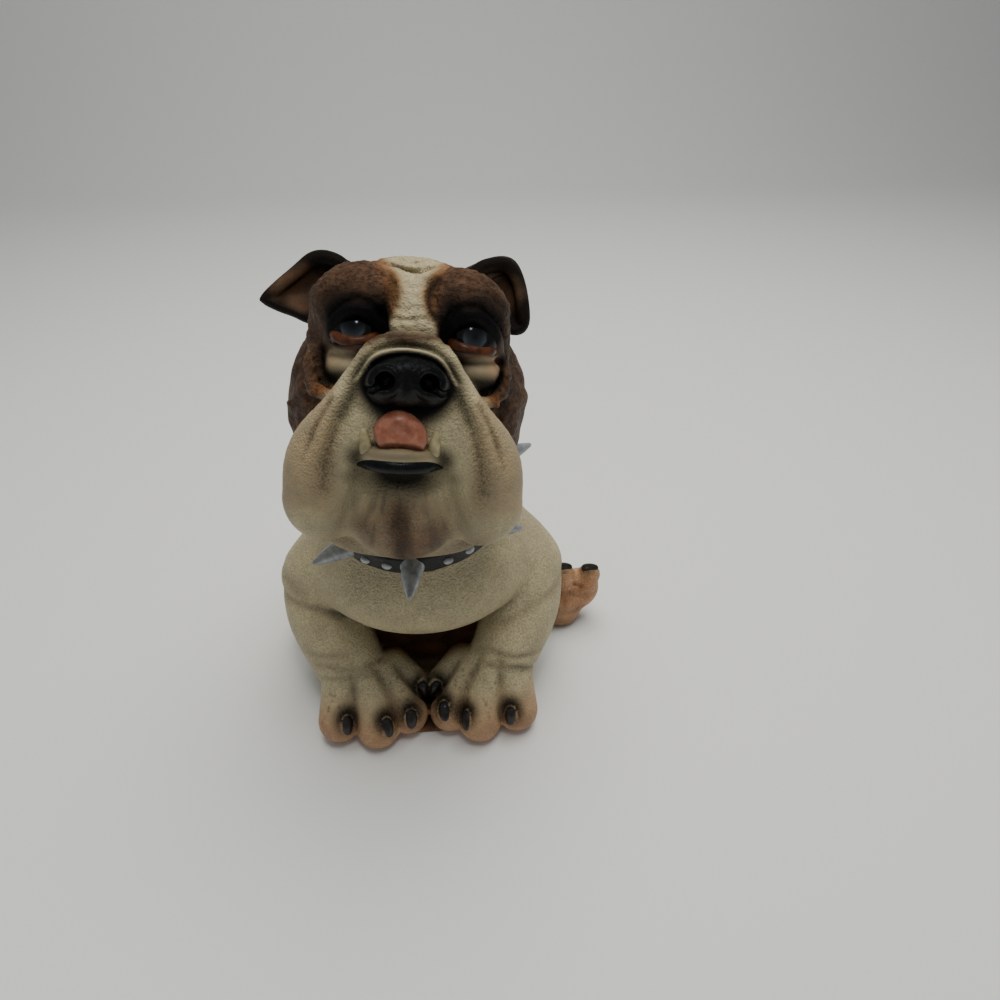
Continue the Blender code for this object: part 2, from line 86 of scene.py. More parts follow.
def spline(points, per_span=6):
    """Rows read from a smooth curve through the given rows."""
    rows = np.asarray(points, float)
    rows = np.vstack([2 * rows[0] - rows[1], rows, 2 * rows[-1] - rows[-2]])
    t = np.linspace(0, 1, per_span, endpoint=False)[:, None]
    spans = []
    for a, b, c, d in zip(rows[:-3], rows[1:-2], rows[2:-1], rows[3:]):
        spans.append(0.5 * (2 * b + (c - a) * t + (2 * a - 5 * b + 4 * c - d) * t**2
                            + (3 * b - a - 3 * c + d) * t**3))
    return np.vstack(spans + [rows[-2:-1]])


def mirrored(points, side):
    return [(side * point[0], *point[1:]) for point in points]


def lattice_noise(points, period, seed=0):
    """Random values at the corners of cubes a period wide, run smoothly into one another, -1 to 1."""
    cell = points / period
    base = np.floor(cell).astype(np.int64)
    part = cell - base
    part = part * part * (3 - 2 * part)
    total = np.zeros(len(points))
    for corner in np.ndindex(2, 2, 2):
        key = (base + corner) @ np.array([73856093, 19349663, 83492791]) + seed * 2654435761
        key = (key ^ (key >> 13)) * 1274126177
        value = ((key ^ (key >> 16)) & 0xFFFF) / 32767.5 - 1
        total += value * np.prod(np.where(corner, part, 1 - part), axis=1)
    return total


def along_path(points, path):
    """Distance of each point to a chain of points, and how far along it the nearest place is, 0 to 1."""
    steps = np.linalg.norm(np.diff(path, axis=0), axis=1)
    runs = np.concatenate([[0], np.cumsum(steps)]) / steps.sum()
    best = np.full(len(points), FAR)
    share = np.zeros(len(points))
    for a, b, start, end in zip(path[:-1], path[1:], runs[:-1], runs[1:]):
        reach = np.clip((points - a) @ (b - a) / ((b - a) @ (b - a)), 0, 1)
        gap = np.linalg.norm(points - a - reach[:, None] * (b - a), axis=1)
        share = np.where(gap < best, start + (end - start) * reach, share)
        best = np.minimum(best, gap)
    return best, share


# ---- clay: shapes that melt into one another -----------------------------------------------------

class Ball:
    """An ellipsoid."""

    def __init__(self, centre, radii, turn=None):
        self.centre = np.asarray(centre, float)
        self.radii = np.ones(3) * radii
        self.turn = np.eye(3) if turn is None else turn
        reach = np.abs(self.turn) @ self.radii
        self.low, self.high = self.centre - reach, self.centre + reach

    def depth(self, points):
        local = (points - self.centre) @ self.turn
        outward = np.linalg.norm(local / self.radii, axis=1)
        slope = np.linalg.norm(local / self.radii**2, axis=1) + 1e-9
        return outward * (outward - 1) / slope


class Limb:
    """A tube through a chain of points, with a radius at each."""

    def __init__(self, path, radii):
        self.path = np.asarray(path, float)
        self.radii = np.ones(len(self.path)) * radii
        self.low = (self.path - self.radii[:, None]).min(0)
        self.high = (self.path + self.radii[:, None]).max(0)

    def depth(self, points):
        best = np.full(len(points), FAR)
        for a, b, start, end in zip(self.path[:-1], self.path[1:], self.radii[:-1], self.radii[1:]):
            along = np.clip((points - a) @ (b - a) / ((b - a) @ (b - a)), 0, 1)
            gap = np.linalg.norm(points - a - along[:, None] * (b - a), axis=1)
            best = np.minimum(best, gap - start - (end - start) * along)
        return best


def bent_limb(points, radii, per_span=6):
    rows = spline(np.column_stack([np.asarray(points, float), np.ones(len(points)) * radii]), per_span)
    return Limb(rows[:, :3], rows[:, 3])


class Flap:
    """A thick sheet with an outline in X and Z, dished towards +Y inside its rim."""

    def __init__(self, outline, plane, dish, thick, rim):
        self.outline = spline(list(outline) + [outline[0]], 5)[:-1]
        self.plane, self.dish, self.thick, self.rim = plane, dish, thick, rim
        self.half_size = np.abs(self.outline - self.outline.mean(0)).max()
        across = plane(self.outline[:, 0], self.outline[:, 1])
        (low_x, low_z), (high_x, high_z) = self.outline.min(0), self.outline.max(0)
        self.low = np.array([low_x, across.min() - thick, low_z])
        self.high = np.array([high_x, across.max() + dish + thick, high_z])

    def inset(self, flat):
        """Distance to the outline, negative inside it."""
        inside = np.zeros(len(flat), bool)
        for a, b in zip(self.outline, np.roll(self.outline, -1, axis=0)):
            rise = b[1] - a[1] if b[1] != a[1] else 1.0
            crossing = a[0] + (flat[:, 1] - a[1]) / rise * (b[0] - a[0])
            inside ^= ((a[1] > flat[:, 1]) != (b[1] > flat[:, 1])) & (flat[:, 0] < crossing)
        gap, _ = along_path(flat, np.vstack([self.outline, self.outline[:1]]))
        return np.where(inside, -gap, gap)

    def depth(self, points):
        edge = self.inset(points[:, [0, 2]]) + self.rim
        inward = np.clip(-edge / self.half_size, 0, 1)
        middle = self.plane(points[:, 0], points[:, 2]) + self.dish * inward * (2 - inward)
        sheet = np.abs(points[:, 1] - middle) - self.thick + self.rim
        outside = np.hypot(np.maximum(edge, 0), np.maximum(sheet, 0))
        return outside + np.minimum(np.maximum(edge, sheet), 0) - self.rim


class Groove:
    """A line pressed in as seen along Y, or raised where its depth is negative."""

    def __init__(self, points, deep, width, ends=0.0):
        self.path, self.deep, self.width, self.ends = spline(points), deep, width, ends

    def press(self, points, depth):
        near = np.where((points[:, 1] < 0) & (np.abs(depth) < 12))[0]
        gap, share = along_path(points[near][:, [0, 2]], self.path)
        swell = self.ends + (1 - self.ends) * np.abs(np.sin(np.pi * share)) ** 0.7
        depth[near] += self.deep * swell * np.exp(-(gap / self.width) ** 2)


class Crease:
    """A line pressed in, or raised, where it lies on the surface in three dimensions."""

    def __init__(self, path, deep, width):
        self.path, self.deep, self.width = np.asarray(path, float), deep, width

    def share(self, points, wider=1.0):
        """1 on the middle of the line, fading to its ends and over its width."""
        width = self.width * wider
        low, high = self.path.min(0) - 3 * width, self.path.max(0) + 3 * width
        near = np.where(((points > low) & (points < high)).all(1))[0]
        gap, along = along_path(points[near], self.path)
        share = np.zeros(len(points))
        share[near] = np.sqrt(np.abs(np.sin(np.pi * along))) * np.exp(-(gap / width) ** 2)
        return share

    def press(self, points, depth):
        depth += self.deep * self.share(points)


class Clay:
    """Shapes added to and cut from one another in turn, in a frame of their own."""

    def __init__(self, at=(0, 0, 0), turn=None):
        self.at = np.asarray(at, float)
        self.turn = np.eye(3) if turn is None else turn
        self.steps = []

    def add(self, shape, melt=1.0):
        self.steps.append(("add", shape, melt))

    def cut(self, shape, melt=1.0):
        self.steps.append(("cut", shape, melt))

    def join(self, clay, melt=1.0):
        self.steps.append(("join", clay, melt))

    def press(self, line):
        self.steps.append(("press", line, 0.0))

    def depth(self, points, band=5.0):
        """Depth of each point below the surface as a negative number, true near the surface."""
        local = (points - self.at) @ self.turn
        depth = np.full(len(local), FAR)
        for number, (kind, shape, melt) in enumerate(self.steps):
            margin = band + max(step[2] for step in self.steps[number:])
            if kind == "join":
                depth = smooth_min(depth, shape.depth(local, margin), melt)
                continue
            if kind == "press":
                shape.press(local, depth)
                continue
            near = np.where(((local > shape.low - margin) & (local < shape.high + margin)).all(1))[0]
            value = shape.depth(local[near])
            if kind == "add":
                depth[near] = smooth_min(depth[near], value, melt)
            else:
                depth[near] = -smooth_min(-depth[near], value, melt)
        return depth

    def outward(self, points, probe=0.3):
        """Depth at the points, and the direction out of the clay."""
        depth = self.depth(points)
        slope = np.column_stack([self.depth(points + step) - depth for step in probe * np.eye(3)]) / probe
        return depth, slope / np.maximum(np.linalg.norm(slope, axis=1), 0.3)[:, None]

    def on_surface(self, points):
        """The points moved straight out or in until they lie on the surface."""
        rows = spline(points, 8)
        for _ in range(8):
            depth, out = self.outward(rows)
            rows = rows - out * np.clip(depth, -3, 3)[:, None]
        return rows


# ---- the dog, with the masses of the solid and the finer forms over them -------------------------

def collar_point(angle, radius, up=0.0):
    """A point beside the collar's axis: angle 0 is at the throat, up runs along the axis."""
    turn = np.radians(angle)
    return COLLAR_AT + COLLAR_TURN @ np.array([radius * np.sin(turn), -radius * np.cos(turn), up])


def trunk(clay):
    clay.add(Ball((0, 10, 72), (42, 43, 36)))
    clay.add(Ball((0, 34, 58), (45, 44, 44)), 26)
    clay.add(Ball((0, 46, 26), (50, 34, 34)), 26)
    neck = [collar_point(0, 0, up) for up in (-26, 0, 30)]
    clay.add(Limb(neck, [NECK_RADIUS + 3, NECK_RADIUS, NECK_RADIUS - 1]), 18)
    for up, radius, reach in ((14, 8.5, 62), (27, 9, 78)):
        nape = [collar_point(angle, NECK_RADIUS - 4, up) for angle in range(180 - reach, 181 + reach, 20)]
        clay.add(Limb(nape, radius), 8)
    for side in SIDES:
        clay.add(Ball((side * 43, 2, 51.5), (20, 24, 23), turned(y=-side * 8)), 18)
    clay.add(Ball((0, -10, 63), (47, 36, 27)), 12)
    clay.add(Limb([(0, 76, 26), (0, 84, 33), (4, 84, 39)], [8, 6.5, 4.5]), 6)


TOES = (
    ((38, -35, 22), (39.5, -52, 9), 9.0, 9.6),
    ((29, -37, 23), (22.5, -56, 8.5), 8.3, 9.8),
    ((20, -35, 21), (9.3, -51, 9), 7.6, 8.8),
)
THUMB = ((16, -31, 19), (3.5, -40, 15), 8.5, 5.5)
HIND_FEET = {-1: 56, 1: 76}
HIND_TOES = ((-5.5, 24, -6.5, 31.5), (5.5, 22, 7, 30))       # root and tip: outward, up
SOLE_PADS = ((-5.5, 27.5, 4.0, 4.6), (6.5, 26.0, 4.0, 4.6), (1.5, 17.5, 6.4, 4.4))
CLAW_SIZE = (2.9, 2.3, 4.4)     # half its breadth, thickness and length
FORE_CLAWS = (
    # where each lies on its toe, and how far it leans to the side
    ((-36.3, -56.7, 12), 0.15), ((-19.2, -59.7, 12), 0.32), ((-7.9, -56.4, 12.5), 0.05),
    ((-2.2, -44, 16), 0.2), ((7.7, -54.1, 13), 0.12), ((18.1, -59, 12), 0.05),
    ((36.4, -58.3, 12.5), -0.2), ((3.2, -44.9, 16), -0.25),
)


def fore_leg(clay, side):
    arm = mirrored([(47, -2, 52), (45, -15, 38), (35.5, -31, 24)], side)
    clay.add(bent_limb(arm, [18.5, 17.5, 15.5]), 4)
    clay.add(Ball((side * 26, -38, 12), (19.5, 20, 14)), 8)
    for root, tip, start, end in (*TOES, THUMB):
        clay.add(Limb(mirrored([root, tip], side), [start, end]), 2.2)


def hind_leg(clay, side):
    out = HIND_FEET[side]
    clay.add(Ball((side * 40, 34, 25), (24, 30, 28)), 14)
    clay.add(Limb([(side * 46, 26, 18), (side * (out - 8), 16, 10)], [15, 12]), 8)
    clay.add(Ball((side * (out - 7), 12, 8), (9.5, 9, 9.5)), 5)
    clay.add(Ball((side * (out + 1), 14, 19), (11.5, 8, 12.5), turned(y=side * 18)), 5)
    for root_out, root_up, tip_out, tip_up in HIND_TOES:
        toe = [(side * (out + root_out), 14, root_up), (side * (out + tip_out), 12.5, tip_up)]
        clay.add(Limb(toe, 5.5), 3)
    for pad_out, pad_up, broad, tall in SOLE_PADS:
        clay.add(Ball((side * (out + pad_out), 8.2, pad_up), (broad, 2.6, tall)), 0.8)


def belly(clay):
    clay.add(Ball((0, 4, 22), (36, 24, 30)), 12)
    clay.add(Ball((0, -28, 0), (30, 27.5, 5.5)), 3)


def skull(clay):
    clay.add(Ball((0, 12, 24), (36, 38, 29.5)))
    clay.add(Ball((0, 8, 2), (36, 34, 32)), 18)
    clay.add(Ball((0, 2, -24), (29, 26, 24)), 14)
    for side in SIDES:
        clay.add(Ball((side * 33, 9, 0), (12, 17, 24)), 6)
        clay.add(Ball((side * 24, 2, -26), (14, 16, 17)), 8)
        clay.add(Ball((side * 21, -9.5, 35.5), (14.5, 12, 11), turned(y=side * 28)), 8)
        clay.add(bent_limb(mirrored([(29.5, -8, 34), (31.8, -6, 22), (32, -7, 8)], side), [5.5, 4.5, 4]), 3)


def muzzle():
    clay = Clay()
    clay.add(Ball((0, -18, -8), (25, 20, 22)))
    for side in SIDES:
        clay.add(Ball((side * 10, -26, -7), (13, 11.5, 12)), 6)
        jowl = mirrored([(7, -29, 8), (15, -27, -4), (25, -20, -20), (26.5, -15, -34.5)], side)
        clay.add(bent_limb(jowl, [9, 11, 15, 16]), 6)
    clay.add(Ball((0, -14, -37), (21, 18, 19.5)), 5)
    dewlap = [(-26, 0, -44), (-19.5, -4, -48.5), (0, -8, -50.5), (19.5, -4, -48), (27, 0, -43.5)]
    clay.add(bent_limb(dewlap, [7, 7.5, 7, 7.5, 7]), 4)
    return clay


EYE_DRIFT = 1.7
EYE_RADIUS = 10.3


def eye_centre(side):
    return np.array([side * 19.8 + EYE_DRIFT, -12.0, 22.5])


def beside_eye(points, side):
    """Points given for the left eye, carried to either eye."""
    return [(side * x + EYE_DRIFT, y, z) for x, y, z in points]


UPPER_LID = [(30, -11, 17.5), (27, -17.5, 25.4), (19.5, -21.8, 30.2), (12.5, -19.6, 26.6), (10, -16, 20.5)]
LOWER_LID = [(29, -13.5, 18.3), (25, -18.8, 17.2), (19, -21.5, 16.8), (13, -19.6, 18), (10.5, -16, 19.9)]


MUZZLE = muzzle()


def eye(clay, side):
    """Socket, pouch, eyeball bed and both lids."""
    clay.cut(Ball((side * 20 + EYE_DRIFT, -25, 22), (12, 11, 11)), 4)
    clay.add(Ball((side * 20.3 + EYE_DRIFT, -14.5, 10.5), (10, 8.6, 7.2), turned(y=-side * 10)), 1.5)
    clay.add(Ball(eye_centre(side), EYE_RADIUS - 0.6), 0.8)
    clay.add(bent_limb(beside_eye(UPPER_LID, side), [2.2, 2.7, 2.9, 2.7, 2.2]), 1.0)
    fold = [(32, -9, 20), (30, -15, 29.5), (21, -21.5, 35.5), (11.5, -19, 31.5), (8, -14.5, 23)]
    clay.add(bent_limb(beside_eye(fold, side), [1.5, 2, 2.2, 2, 1.5]), 1.5)
    lower = [(x, y, z - (0.9 if side > 0 else 0)) for x, y, z in LOWER_LID]
    clay.add(bent_limb(beside_eye(lower, side), [0.9, 1.8, 2.0, 1.7, 0.9]), 0.8)


def cheek_fold(clay, side):
    """The edge of skin that holds the pouch below and outside the eye."""
    fold = [(33.5, -9, 17), (34.5, -12, 9), (31.5, -16, 2.5), (25, -20.5, 0.5)]
    clay.add(bent_limb(mirrored(fold, side), [1.5, 2.4, 2.6, 1.5]), 2)


ROLL = [(23, -26, -8), (16.5, -30, 6), (10, -32, 16)]
RIDGE = [(17.6, -31.0, 1), (15.0, -34.6, 8.6), (9.2, -38.0, 13.9)]


def nose_roll(clay):
    """The roll of skin over the nose, and the thin ridge in front of it."""
    arch = mirrored(ROLL, -1) + [(0, -33, 19)] + ROLL[::-1]
    clay.add(bent_limb(arch, [3, 4.2, 4, 3.8, 4, 4.2, 3]), 2.5)
    arch = mirrored(RIDGE, -1) + [(0, -39.2, 15.9)] + RIDGE[::-1]
    clay.add(bent_limb(arch, [0.8, 1.3, 1.4, 1.3, 1.4, 1.3, 0.8]), 0.6)
    arch = [(-17.2, 7), (-10.6, 15.6), (0, 17.9), (10.6, 15.6), (17.2, 7)]
    clay.press(Groove(arch, 1.3, 1.0, 0.2))


MOUTH_DRIFT = -1.5
LIP = [(14, -31, -19.2), (6.8, -35.8, -17.9), (0, -37.2, -17.4)]


def mouth(clay):
    """The hollow behind the tongue and the lower lip."""
    clay.cut(Ball((MOUTH_DRIFT, -41, -12), (15, 6, 6)), 3)
    lip = mirrored(LIP, -1) + LIP[-2::-1]
    lip = [(x + MOUTH_DRIFT, y, z) for x, y, z in lip]
    clay.add(bent_limb(lip, [2.6, 3.4, 3.6, 3.4, 2.6]), 1.5)


CHEEK_LINE = [(14.2, 10), (17.8, 1), (20.8, -6), (24, -15), (25.7, -22), (26.5, -29)]
JOWL_LINE = [(23.8, 0), (28.6, -9), (32.8, -19.5)]


def creases(clay):
    clay.press(Groove([(-17, -14.5), (-9, -14.8), (-1.5, -15), (6, -14.8), (14, -14.5)], 1.5, 0.9))
    clay.press(Groove([(0, -30), (0.5, -52)], 0.8, 2.5))
    clay.press(Groove([(-14, 49.0), (-9.5, 47.6), (1, 44.0), (7, 46.2), (11.3, 48.2)], 1.6, 0.8, 0.2))
    clay.press(Groove([(-8, 49.0), (0, 46.2), (8, 48.8)], -0.9, 1.0))
    clay.press(Groove([(-7, 50.2), (1, 48.4), (8, 50.0)], 1.2, 0.7, 0.1))
    clay.press(Groove([(-8, 28), (-3, 26.6), (4, 27.4), (8, 29)], 0.7, 0.8, 0.2))
    clay.press(Groove([(-7, 31), (0, 30), (6, 31.5)], 0.5, 0.8, 0.2))
    for side in SIDES:
        clay.press(Groove(mirrored(CHEEK_LINE, side), 2.4, 2.2, 0.2))
        clay.press(Groove(mirrored(JOWL_LINE, side), 1.8, 1.1))
        clay.press(Groove(mirrored([(19.5, 11), (24.5, 0), (30.5, -14)], side), -1.2, 2.2))
        clay.press(Groove(mirrored([(15.5, -22), (16.5, -30), (20, -42), (23, -52)], side), 1.6, 2.6))
        clay.press(Groove(mirrored([(10.5, 45), (7.6, 40), (7.0, 35), (9.4, 27)], side), 2.6, 2.0, 0.2))


FOLDS = (
    # the wrinkles of the right wrist, then of the left
    ([(-53, -30, 33), (-48.4, -36.5, 35.1), (-41.9, -39, 36.5), (-33, -40, 37)], 1.2, 1.1),
    ([(-47, -36, 30), (-39, -42.9, 32.2), (-34, -44.4, 32), (-29.7, -42.4, 30.4), (-18, -34, 29)], 2.4, 1.3),
    ([(-49, -38, 24), (-41, -45.3, 28), (-32, -44.4, 28), (-26.7, -44.1, 28.4), (-20, -41, 28)], 1.6, 1.0),
    ([(21.6, -34, 30.2), (28.5, -39.5, 34.7), (34.5, -42.4, 33.8), (41, -42, 32), (52, -34, 28)], 2.0, 1.1),
    ([(23.8, -41.6, 29), (31.3, -43.6, 28.8), (40, -45.5, 28.4), (46.5, -42, 24), (52, -34, 17)], 2.4, 1.2),
    ([(29, -42, 32), (38, -44.5, 31.4), (47, -41, 27)], -1.0, 1.4),
    # where the right foreleg leaves the chest, deeper than on the left
    ([(-68, -6, 50), (-57, -20.9, 52.3), (-45.5, -26, 52.1), (-36.7, -27, 48.6), (-27, -36, 51)], 2.2, 1.4),
    ([(-66, 2, 60), (-58, -16, 58), (-50, -24, 57)], 0.9, 1.6),
    ([(68, 2, 53), (60, -18, 50), (45, -31, 49), (27, -38, 46)], 0.9, 1.8),
)
TOE_LINES = (
    ([(33, -38, 32), (32.5, -48, 24), (31.5, -59, 8)], 2.4, 1.6),
    ([(25, -38, 31), (17.5, -48, 20), (15, -57, 9)], 3.0, 1.6),
    ([(15, -36, 27), (9.5, -43, 19), (6, -47, 10)], 2.0, 1.5),
)
FOOT_LINES = (
    ([(-9, 2, 24), (-3, 0, 22.5), (3, 0, 22), (10, 2, 21)], 1.2, 0.8),
    ([(0, 2, 32), (0.5, 2, 28), (0.5, 3, 23)], 1.4, 0.9),
    ([(-9, 3, 14), (-3, 2, 12), (3, 2, 11.5), (8, 3, 13)], 1.3, 0.9),
    ([(-7, 3, 21), (-6, 2, 17), (-5, 2, 14)], 0.9, 0.8),
)


def folds(clay):
    """Wrinkles of the forelegs, and the lines between toes and across the soles."""
    lines = list(FOLDS)
    for side in SIDES:
        lines += [(mirrored(path, side), deep, width) for path, deep, width in TOE_LINES]
        lines += [([(side * (HIND_FEET[side] + x), y, z) for x, y, z in path], deep, width)
                  for path, deep, width in FOOT_LINES]
    for crease in [Crease(clay.on_surface(path), deep, width) for path, deep, width in lines]:
        clay.press(crease)


def figure():
    head = Clay(HEAD_AT, HEAD_TURN)
    skull(head)
    head.join(muzzle(), 4)
    for side in SIDES:
        eye(head, side)
        cheek_fold(head, side)
    nose_roll(head)
    mouth(head)
    creases(head)
    dog = Clay()
    trunk(dog)
    for side in SIDES:
        fore_leg(dog, side)
    for side in SIDES:
        hind_leg(dog, side)
    belly(dog)
    folds(dog)
    dog.join(head, 5)
    return dog


DOG = figure()


def claw_places():
    """Middle of each claw and its axes: the columns are its breadth, its thickness and its length."""
    spots = [(place, np.array([lean, -0.67, -0.74]), 1.2) for place, lean in FORE_CLAWS]
    for side in SIDES:
        spots += [((side * (HIND_FEET[side] + out), 12.5, up + 8), np.array([1, 0, 0.0]), 1.3)
                  for _, _, out, up in HIND_TOES]
    places = np.array([place for place, _, _ in spots], float)
    for _ in range(8):
        depth, outward = DOG.outward(places)
        places = places - outward * np.clip(depth, -3, 3)[:, None]
    for place, out, (_, along, sunk) in zip(places, outward, spots):
        out = out / np.linalg.norm(out)
        along = along - out * (along @ out)
        along = along / np.linalg.norm(along)
        yield place - sunk * out, np.column_stack([np.cross(out, along), out, along])


# ---- from depths to a mesh -----------------------------------------------------------------------

def surface_net(depth, low, step):
    """One point in each cell of the grid that the surface crosses, at the mean of its crossings, and
    one quad round each grid edge that it crosses."""
    inside = depth < 0
    size = np.array(depth.shape) - 1
    count = np.zeros(size, np.uint8)
    for i, j, k in np.ndindex(2, 2, 2):
        count += inside[i:size[0] + i, j:size[1] + j, k:size[2] + k]
    active = (count > 0) & (count < 8)
    cells = np.argwhere(active)
    number = np.full(active.shape, -1, np.int32)
    number[active] = np.arange(len(cells))
    total = np.zeros((len(cells), 3))
    hits = np.zeros(len(cells))
    for axis in range(3):
        for u, v in np.ndindex(2, 2):
            start = np.zeros(3, int)
            start[(axis + 1) % 3], start[(axis + 2) % 3] = u, v
            end = start.copy()
            end[axis] = 1
            a, b = depth[tuple((cells + start).T)], depth[tuple((cells + end).T)]
            crossed = (a < 0) != (b < 0)
            share = np.where(crossed, a / np.where(crossed, a - b, 1), 0)
            total += np.where(crossed[:, None], cells + start + share[:, None] * (end - start), 0)
            hits += crossed
    quads = []
    for axis in range(3):
        first = [slice(1, n - 1) for n in depth.shape]
        second = list(first)
        first[axis], second[axis] = slice(0, size[axis]), slice(1, size[axis] + 1)
        a, b = inside[tuple(first)], inside[tuple(second)]
        edges = np.argwhere(a != b)
        leaving = a[tuple(edges.T)]
        corner = edges + 1
        corner[:, axis] -= 1
        ring = []
        for u, v in ((1, 1), (0, 1), (0, 0), (1, 0)):
            cell = corner.copy()
            cell[:, (axis + 1) % 3] -= u
            cell[:, (axis + 2) % 3] -= v
            ring.append(number[tuple(cell.T)])
        faces = np.column_stack(ring)
        faces[~leaving] = faces[~leaving][:, ::-1]
        quads.append(faces)
    return low + step * total / hits[:, None], np.vstack(quads)


def sculpt(depth_of, low, high, step, coarse=4):
    """The surface inside a box: depths on a coarse grid say where the fine grid is worked out."""
    low, high = np.asarray(low, float), np.asarray(high, float)
    wide = step * coarse
    count = np.ceil((high - low) / wide).astype(int) + 1
    axes = [low[i] + wide * np.arange(count[i]) for i in range(3)]
    grid = np.stack(np.meshgrid(*axes, indexing="ij"), -1)
    rough = depth_of(grid.reshape(-1, 3), 1.4 * wide + 5).reshape(count)
    fine = np.where(rough < 0, -50.0, 50.0)
    near = np.abs(rough) < 1.3 * wide
    for axis in range(3):
        fine, near = fine.repeat(coarse, axis), near.repeat(coarse, axis)
    origin = low - (coarse // 2) * step
    places = np.argwhere(near)
    fine[tuple(places.T)] = depth_of(origin + places * step, 5.0)
    return surface_net(fine, origin, step)


def edge_pairs(quads):
    pairs = np.vstack([quads[:, [i, (i + 1) % 4]] for i in range(4)])
    pairs.sort(axis=1)
    return np.unique(pairs, axis=0)


def neighbour_mean(values, pairs, size):
    """The mean of the values at the vertices that each vertex is joined to."""
    ends = np.concatenate([pairs[:, 0], pairs[:, 1]])
    others = values[np.concatenate([pairs[:, 1], pairs[:, 0]])]
    counts = np.bincount(ends, minlength=size)
    columns = others.reshape(len(others), -1).T
    sums = np.column_stack([np.bincount(ends, weights=column, minlength=size) for column in columns])
    return (sums / counts[:, None]).reshape(values.shape)


def vertex_normals(points, quads):
    across = np.cross(points[quads[:, 2]] - points[quads[:, 0]], points[quads[:, 3]] - points[quads[:, 1]])
    normals = np.column_stack([
        np.bincount(quads.ravel(), weights=np.repeat(across[:, axis], 4), minlength=len(points))
        for axis in range(3)])
    return normals / np.maximum(np.linalg.norm(normals, axis=1), 1e-12)[:, None]


def hollowness(points, normals, pairs, rounds):
    """How far each point lies below the mean of its surroundings, in mm: above 0 in a crease."""
    mean = points
    for _ in range(rounds):
        mean = 0.3 * mean + 0.7 * neighbour_mean(mean, pairs, len(points))
    return ((mean - points) * normals).sum(1)


def new_piece(name, points, faces, material, attributes=None):
    """A mesh piece from points in mm, with named float attributes on its vertices."""
    mesh = bpy.data.meshes.new(name)
    mesh.from_pydata(np.asarray(points) * MM, [], faces.tolist() if isinstance(faces, np.ndarray) else faces)
    mesh.polygons.foreach_set("use_smooth", np.ones(len(mesh.polygons), bool))
    for key, values in (attributes or {}).items():
        mesh.attributes.new(key, "FLOAT", "POINT").data.foreach_set("value", values.astype(np.float32))
    mesh.materials.append(material)
    mesh.validate()
    piece = bpy.data.objects.new(name, mesh)
    bpy.context.scene.collection.objects.link(piece)
    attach(piece, "root")
    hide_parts("bulldog")
    return piece


# ---- profiles carried along paths and round axes -------------------------------------------------

def grid_faces(rows, columns, first=0):
    """Quads between rows of a grid whose columns close on themselves."""
    row, column = np.meshgrid(np.arange(rows - 1), np.arange(columns), indexing="ij")
    here, beside = row * columns + column, row * columns + (column + 1) % columns
    return first + np.stack([here, beside, beside + columns, here + columns], -1).reshape(-1, 4)


def round_body(radii, heights, count, squash=1.0):
    """A profile of radius against height turned about Z, closed at both ends with a small cap of quads
    drawn in to the axis; squash narrows it in Y."""
    angle = np.linspace(0, 2 * np.pi, count, endpoint=False)
    ring = np.column_stack([np.cos(angle), squash * np.sin(angle)])
    radii, heights = np.asarray(radii, float), np.asarray(heights, float)
    radii = np.concatenate([[radii[0] * 0.02], radii, [radii[-1] * 0.02]])
    heights = np.concatenate([heights[:1], heights, heights[-1:]])
    points = np.concatenate([np.column_stack([r * ring, np.full(count, h)]) for r, h in zip(radii, heights)])
    faces = grid_faces(len(radii), count)
    caps = [list(range(count))[::-1], list(range(len(points) - count, len(points)))]
    return points, faces.tolist() + caps


def facing(direction, up=(0, 0, 1)):
    """Rows of a frame with its Z along the direction and its X square to it and to up."""
    axis = np.asarray(direction, float) / np.linalg.norm(direction)
    across = np.cross(up, axis)
    across /= np.linalg.norm(across)
    return np.array([across, np.cross(axis, across), axis])


def set_at(points, centre, direction, up=(0, 0, 1)):
    """Local points placed at the centre with their Z along the direction."""
    return points @ facing(direction, up) + centre


def gathered(parts):
    """Several closed shells as one list of points and faces."""
    points, faces, first = [], [], 0
    for part_points, part_faces in parts:
        points.append(part_points)
        faces += [[first + i for i in face] for face in part_faces]
        first += len(part_points)
    return np.vstack(points), faces


def tube(path, radii, count=24, squash=1.0, up=(0, 0, 1)):
    """A ring of points carried along a path, its radius read at each place, both ends closed with a flat
    cap;
    squash flattens the ring across the up direction."""
    rows = spline(np.column_stack([np.asarray(path, float), np.ones(len(path)) * radii]), 12)
    line, radius = rows[:, :3], np.maximum(rows[:, 3], 0.02)
    ahead = np.gradient(line, axis=0)
    ahead /= np.linalg.norm(ahead, axis=1)[:, None]
    side = np.cross(ahead, np.asarray(up, float))
    side /= np.linalg.norm(side, axis=1)[:, None]
    rise = np.cross(side, ahead)
    angle = np.linspace(0, 2 * np.pi, count, endpoint=False)[None, :, None]
    ring = squash * np.cos(angle) * side[:, None] + np.sin(angle) * rise[:, None]
    points = (line[:, None] + radius[:, None, None] * ring).reshape(-1, 3)
    faces = grid_faces(len(line), count)
    caps = [list(range(count))[::-1], list(range(len(points) - count, len(points)))]
    return points, faces.tolist() + caps


def from_head(points):
    return HEAD_AT + np.asarray(points) @ HEAD_TURN.T


def to_head(points):
    return (points - HEAD_AT) @ HEAD_TURN


# ---- materials -----------------------------------------------------------------------------------

def paint(code):
    """An sRGB hex colour as linear RGBA."""
    values = np.array([int(code[i:i + 2], 16) for i in (1, 3, 5)]) / 255
    linear = np.where(values <= 0.04045, values / 12.92, ((values + 0.055) / 1.055) ** 2.4)
    return (*linear, 1.0)


